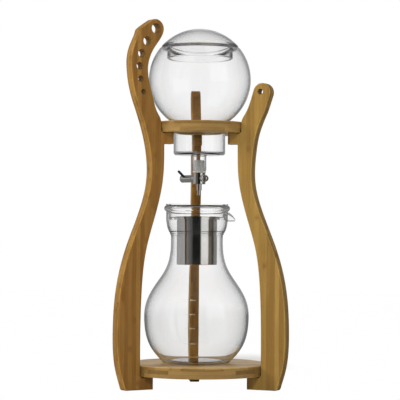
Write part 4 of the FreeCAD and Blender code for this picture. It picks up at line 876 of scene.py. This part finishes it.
# %% Join the beak and finish the carafe
CRISP_CARVED = 38.0
glass_mesh = carve(carve(carafe_mesh, spout, "UNION"), way, "DIFFERENCE")
glass_mesh.name = "carafe_glass"
glass_mesh.transform(Matrix.Translation((CARAFE_ASIDE * MM, 0.0, 0.0)))
smooth_faces(glass_mesh, CRISP_CARVED)
carafe = new_piece("carafe_glass", glass_mesh, carafe_glass, "carafe")
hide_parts("carafe")
print("carafe with beak:", len(glass_mesh.polygons), "faces")

# %% [markdown]
# ## Steel
#
# Four steel finishes are enough. The filter's collar and cup are spun from sheet and polished, so
# they mirror the room with faint rings round them. The tap is turned and polished. The screws and
# the lever are zinc plated and the plates in the filter are brushed: both are duller. All are one
# recipe with other numbers: metallic, a light grey, and scratches in roughness and bump.


# %% The steel finish
DULLER, FILM_SHADE, FILM_GLOSS = 0.78, 0.35, 0.03


def steel_finish(name, colour, gloss, marks_gloss, stretch, density, bump):
    """Polished or brushed steel; the stretch says which way its marks run."""
    finish, tree, shader, _ = new_finish(name)
    place = add_node(tree, "TexCoord").outputs["Object"]
    marks = use_effect(tree, scratched, Place=place, Stretch=stretch, Density=density)
    dull = tuple(value * DULLER for value in colour)
    filmed = product(tree, marks["Film"], FILM_SHADE)
    tone = blended(tree, filmed, (*colour, 1.0), (*dull, 1.0))
    rough = added(tree, gloss, (marks["Marks"], marks_gloss), (marks["Film"], FILM_GLOSS))
    fill_in(tree, shader, Base_Color=tone, Metallic=1.0, Roughness=rough)
    raise_height(tree, shader, marks["Marks"], bump, strength=0.5)
    return finish


STEELS = {
    "spun steel": (
        ("filter_collar", "filter_cup"),
        ((0.80, 0.79, 0.76), 0.035, 0.03, (0.05, 0.05, 3.0), 900.0, 0.000002),
    ),
    "polished tap steel": (
        ("tap_body", "tap_outlet", "drip_tip", "tap_key", "tap_handle", "tap_nut"),
        ((0.72, 0.70, 0.66), 0.06, 0.05, EVEN, 1400.0, 0.000003),
    ),
    "zinc plated": (
        ("base_screws", "shelf_screws", "tap_lever"),
        ((0.70, 0.68, 0.64), 0.28, 0.12, EVEN, 900.0, 0.00001),
    ),
    "brushed plate": (
        ("filter_mesh", "shower_plate"),
        ((0.72, 0.71, 0.69), 0.30, 0.15, (0.1, 2.0, 1.0), 900.0, 0.00001),
    ),
}
for steel, (steel_nodes, numbers) in STEELS.items():
    finish = steel_finish(steel, *numbers)
    for name in steel_nodes:
        dress_node(name, finish)
    print(steel, "on", len(steel_nodes), "nodes")

# %% [markdown]
# ## Silicone, rubber and the washer
#
# The filter's holder and the bush on the tap are silicone. The holder bends light very little and
# only veils what is behind it. The bush is greyer and more frosted. The grip on the lever and the
# two seal rings are black rubber. The washer under the nut is white, waxy plastic. Each has a fine
# moulded texture and a little dust, which keeps soft plastic from looking like paint.


# %% Soft finishes
def soft_finish(name, colour, gloss, clearness, scatter=0.0, ior=1.41):
    """Moulded silicone, rubber or waxy plastic; what new_finish gives."""
    finish, tree, shader, output = new_finish(name)
    fill_in(tree, shader, Transmission_Weight=clearness, IOR=ior, Metallic=0.0)
    if scatter:
        fill_in(tree, shader, Subsurface_Weight=scatter, Subsurface_Scale=0.003)
    place = add_node(tree, "TexCoord").outputs["Object"]
    dust = use_effect(tree, scratched, Place=place, Stretch=EVEN, Density=1500.0)
    pale = tuple(min(1.0, value * 1.1 + 0.02) for value in colour)
    dusty = product(tree, dust["Film"], 0.4)
    tone = blended(tree, dusty, (*colour, 1.0), (*pale, 1.0))
    fill_in(tree, shader, Base_Color=tone, Roughness=added(tree, gloss, (dust["Marks"], 0.12)))
    raise_height(tree, shader, dust["Marks"], distance=0.00001, strength=0.5)
    return finish, tree, shader, output


holder = soft_finish("frosted silicone", (1.0, 1.0, 0.995), 0.03, clearness=1.0, ior=1.13)
bush = soft_finish("bush silicone", (0.62, 0.61, 0.59), 0.22, clearness=0.55)
black_rubber = soft_finish("black rubber", (0.022, 0.022, 0.024), 0.38, clearness=0.0)[0]
waxy_white = soft_finish("white washer plastic", (0.82, 0.82, 0.80), 0.35, 0.0, scatter=0.2)[0]
dress_node("filter_holder", let_light_through(holder, (0.9, 0.9, 0.9)))
dress_node("outlet_bush", let_light_through(bush, (0.5, 0.5, 0.5)))
dress_node("lever_grip", black_rubber)
dress_node("tap_seals", black_rubber)
dress_node("tap_washer", waxy_white)
print("soft finishes on 5 nodes")

# %% [markdown]
# ## Marks on the carafe
#
# Four short lines with small figures are fired onto the carafe, one for each 200 millilitres, in a
# film of pale enamel a few hundredths of a millimetre thick. Each is drawn flat and then laid onto
# the curved side: its sideways place becomes an angle round the axis, and its height picks the
# radius of the side there.

# %% Helpers for marks
ENAMEL_LIFT, LINE_PIECES = 0.04, 12


def carafe_radius(height):
    """Outer radius of the carafe at a height, in millimetres."""
    for first, second in zip(side, side[1:]):
        if first[1] <= height <= second[1]:
            share = (height - first[1]) / (second[1] - first[1])
            return first[0] + (second[0] - first[0]) * share
    return side[-1][0]


def lay_on_carafe(mesh, azimuth, height):
    """Lay a flat drawing in millimetres onto the carafe's side."""
    for vertex in mesh.vertices:
        level = height + vertex.co.y
        radius = carafe_radius(level) + ENAMEL_LIFT + vertex.co.z
        angle = radians(azimuth) + vertex.co.x / radius
        across = radius * cos(angle) + CARAFE_ASIDE
        vertex.co = (across * MM, radius * sin(angle) * MM, (level + CARAFE_BASE) * MM)


def line_drawing(name, length, thickness):
    """A thin line of small quads, ready to be bent."""
    work = bmesh.new()
    rows = []
    for index in range(LINE_PIECES + 1):
        x = length * index / LINE_PIECES
        rows.append([work.verts.new((x, y * thickness, 0.0)) for y in (-0.5, 0.5)])
    for first, second in zip(rows, rows[1:]):
        work.faces.new((first[0], second[0], second[1], first[1]))
    return worked_mesh(name, work)


def figure_drawing(name, words, tall):
    """Figures as a flat mesh in millimetres."""
    letters = bpy.data.curves.new(name, "FONT")
    letters.body, letters.size, letters.resolution_u = words, tall, 3
    holder = into_scene(name, letters)
    mesh = evaluated_mesh(holder)
    bpy.data.objects.remove(holder)
    return mesh


# %% Enamel marks
MARKS = [("200", 26.4), ("400", 44.3), ("600", 60.6), ("800", 77.0)]
MARK_AZIMUTH, LINE_LENGTH, LINE_WIDTH = -107.0, 4.6, 0.28
FIGURE_AZIMUTH, FIGURE_HEIGHT, FIGURE_DROP = MARK_AZIMUTH + 6.0, 2.3, 0.8
enamel = soft_finish("pale enamel", (0.55, 0.53, 0.46), 0.35, clearness=0.0)[0]
for words, height in MARKS:
    stroke = line_drawing("mark_" + words, LINE_LENGTH, LINE_WIDTH)
    lay_on_carafe(stroke, MARK_AZIMUTH, height)
    new_piece("mark_" + words, stroke, enamel, "carafe")
    figures = figure_drawing("figures_" + words, words + " ml", FIGURE_HEIGHT)
    lay_on_carafe(figures, FIGURE_AZIMUTH, height - FIGURE_DROP)
    new_piece("figures_" + words, figures, enamel, "carafe")
print("marks:", [words for words, _ in MARKS])

# %% [markdown]
# ## Light, and the room that the steel sees
#
# Clear glass and polished steel have hardly a colour of their own: they show the room. So the world
# is three things. Seen straight on, or through glass, it is plain white. For light that a matt
# surface has scattered it is one even tone. In a reflection it is a studio: a bright screen at the
# front right, a dark gap where the viewer stands, and grey walls round the left and the back with
# one bright strip. A ray's Glossy Depth and Diffuse Depth say which of the three it meets. One
# broad lamp at the left gives the boards their shape and throws the soft shadow, and a weaker one
# fills in from the front.

# %% Walls of the studio
STUDIO = [
    (0.0, 0.04), (0.035, 0.04), (0.055, 0.26), (0.20, 0.34), (0.232, 0.80), (0.248, 0.80),
    (0.27, 0.34), (0.41, 0.40), (0.53, 0.46), (0.565, 0.26), (0.60, 0.17), (0.66, 0.09),
    (0.682, 0.012), (0.782, 0.010), (0.797, 0.08), (0.812, 0.88), (0.915, 0.92), (0.938, 0.08),
]


def studio_walls(tree, toward):
    """The studio's grey in the direction (x, y)."""
    azimuth = sum_of(tree, "DIVIDE", sum_of(tree, "ARCTAN2", toward[1], toward[0]), 2.0 * pi)
    azimuth = sum_of(tree, "FRACT", sum_of(tree, "ADD", azimuth, 1.0))
    return grey_ramp(tree, azimuth, STUDIO)


print("studio levels:", len(STUDIO))

# %% The world
WHITE, WARM_WHITE = (1.0, 1.0, 1.0, 1.0), (1.0, 0.98, 0.95, 1.0)
CEILING, CEILING_EDGE = (0.18, 0.185, 0.19, 1.0), (0.25, 0.8)
UNDERNEATH, UNDER_EDGE = (0.15, 0.15, 0.15, 1.0), (-0.12, -0.5)
ROOM_LIGHT = 0.78
world = bpy.data.worlds.new("studio")
bpy.context.scene.world = world
world.use_nodes = True
tree = world.node_tree
tree.nodes.clear()
sky = add_node(tree, "TexCoord").outputs["Generated"]
toward = add_node(tree, "SeparateXYZ", {0: sky}).outputs
above, below = (stepped(tree, toward[2], *edge) for edge in (CEILING_EDGE, UNDER_EDGE))
room = blended(tree, above, studio_walls(tree, toward), CEILING)
room = blended(tree, below, room, UNDERNEATH)
seen, mirror, lit = (
    add_node(tree, "Background", {"Color": colour, "Strength": strength}).outputs[0]
    for colour, strength in ((WHITE, 1.0), (room, 1.0), (WARM_WHITE, ROOM_LIGHT))
)
ray = add_node(tree, "LightPath").outputs
mirrored, scattered = (
    sum_of(tree, "MINIMUM", ray[depth], 1.0) for depth in ("Glossy Depth", "Diffuse Depth")
)
shown = mixed(tree, scattered, mixed(tree, mirrored, seen, mirror), lit)
feed(tree, tree.nodes.new("ShaderNodeOutputWorld").inputs["Surface"], shown)
print("world:", len(tree.nodes), "nodes")

# %% The lamps
LAMPS = {
    "key": ((-1.85, -0.55, 0.95), 0.8, 20.0, (1.0, 0.99, 0.96)),
    "front": ((-0.42, -1.72, 1.15), 0.4, 12.0, (1.0, 1.0, 0.97)),
}
AIM = Vector((0.0, 0.0, 0.2))
for name, (place, size, power, colour) in LAMPS.items():
    light = bpy.data.lights.new(name, "AREA")
    light.shape, light.size, light.energy, light.color = "DISK", size, power, colour
    lamp = into_scene(name, light)
    lamp.location = place
    lamp.rotation_euler = (AIM - Vector(place)).to_track_quat("-Z", "Y").to_euler()
    lamp.visible_glossy = False
    lamp.visible_transmission = False
print("lamps:", list(LAMPS))

# %% [markdown]
# ## The floor
#
# The floor is pale and matt. For the eye it also glows plain white, or its far end would show as a
# line, all but a painted shadow: a patch behind the tower where the glow stops, so that the floor's
# lit grey shows there as a soft shadow, with the lamp's own shadow in it. Through glass it is a
# little less white behind the tower, a painted shade which gives the glass its body. In steel it
# shows a
# painted reflection: it glows a dim image of the studio's walls, as a table top with a faint polish
# would mirror them.

# %% What the floor shows
FLOOR_GREY, FLOOR_PALE = (0.78, 0.78, 0.79, 1.0), (0.82, 0.82, 0.82, 1.0)
GLASS_SHADE_BEHIND = (0.08, 0.30), (0.8, 3.2)
SHADOW_DEEP, SHADOW_WIDE = ((0.22, 0.36), (0.44, 0.60)), ((-0.02, 0.06), (0.115, 0.16))
GLASS_GLOW, GLASS_PAINTED_SHADE, EYE_GLOW, SHADOW_LOSS = 0.97, -0.4, 0.99, -0.95
MIRROR_DIM, MIRROR_SHARE = (0.08, 0.08, 0.08, 1.0), 0.45
floor_finish, tree, shader, output = new_finish("pale floor")
place = add_node(tree, "TexCoord").outputs["Object"]
axes = add_node(tree, "SeparateXYZ", {0: place}).outputs
speckle = noise(tree, place, 320.0, detail=3.0)
pale = blended(tree, speckle, FLOOR_GREY, FLOOR_PALE)
fill_in(tree, shader, Base_Color=pale, Roughness=0.85)
raise_height(tree, shader, speckle, distance=0.0001, strength=0.2)

ray = add_node(tree, "LightPath").outputs
# Painted shade: seen through glass, the floor behind the tower glows less white, which greys the
# glass.
glow = added(tree, GLASS_GLOW, (band(tree, axes[1], *GLASS_SHADE_BEHIND), GLASS_PAINTED_SHADE))
through = product(tree, ray["Is Transmission Ray"], glow)
unscattered = sum_of(tree, "SUBTRACT", 1.0, ray["Diffuse Depth"], clamp=True)
through = product(tree, through, unscattered)
# Painted shadow: in this patch the floor stops glowing white, so its lit grey shows as a shadow
# pool, with the lamp's own shadow in it.
deep, wide = band(tree, axes[1], *SHADOW_DEEP), band(tree, axes[0], *SHADOW_WIDE)
painted_shadow_patch = sum_of(tree, "MULTIPLY", deep, wide, clamp=True)
glow = added(tree, EYE_GLOW, (painted_shadow_patch, SHADOW_LOSS))
share = sum_of(tree, "MAXIMUM", product(tree, ray["Is Camera Ray"], glow), through)
# Painted reflection: in steel and glass the floor glows a dim image of the studio's walls.
painted_wall_image = blended(tree, MIRROR_SHARE, MIRROR_DIM, studio_walls(tree, axes))
white, painted_reflection = (
    add_node(tree, "Emission", {"Color": colour, "Strength": 1.0}).outputs[0]
    for colour in (WHITE, painted_wall_image)
)
mirrored = sum_of(tree, "MINIMUM", ray["Glossy Depth"], 1.0)
shown = mixed(tree, mirrored, mixed(tree, share, shader.outputs[0], white), painted_reflection)
feed(tree, output.inputs["Surface"], shown)
print("floor finish:", len(tree.nodes), "nodes")

# %% Lay the floor
bpy.ops.mesh.primitive_plane_add(size=7.0, location=(0.0, 0.0, -0.0002))
floor = bpy.context.object
floor.name = "floor"
floor.data.materials.append(floor_finish)
print("floor laid")

# %% [markdown]
# ## The camera
#
# The tower is seen from the front, from about 2 metres away and a little under half its height,
# with a long lens, so its upright lines stay almost parallel. Light may pass many walls of glass
# before it counts as lost, or glass behind glass would go black.

# %% Set the camera
EYE, PAN, TILT, ROLL = (-0.1268, -2.0163, 0.1820), -3.63, 91.18, 0.36
view = bpy.data.cameras.new("view")
view.lens, view.sensor_width = 151.5, 36.0
camera = into_scene("view", view)
turn = Matrix.Rotation(radians(PAN), 4, "Z") @ Matrix.Rotation(radians(TILT), 4, "X")
turn = turn @ Matrix.Rotation(radians(ROLL), 4, "Z")
camera.matrix_world = Matrix.Translation(EYE) @ turn
bpy.context.scene.camera = camera
bpy.context.scene.view_settings.view_transform = "Standard"
bounces = bpy.context.scene.cycles
bounces.max_bounces = bounces.transmission_bounces = bounces.transparent_max_bounces = 24
bounces.glossy_bounces = 8
print("camera set")
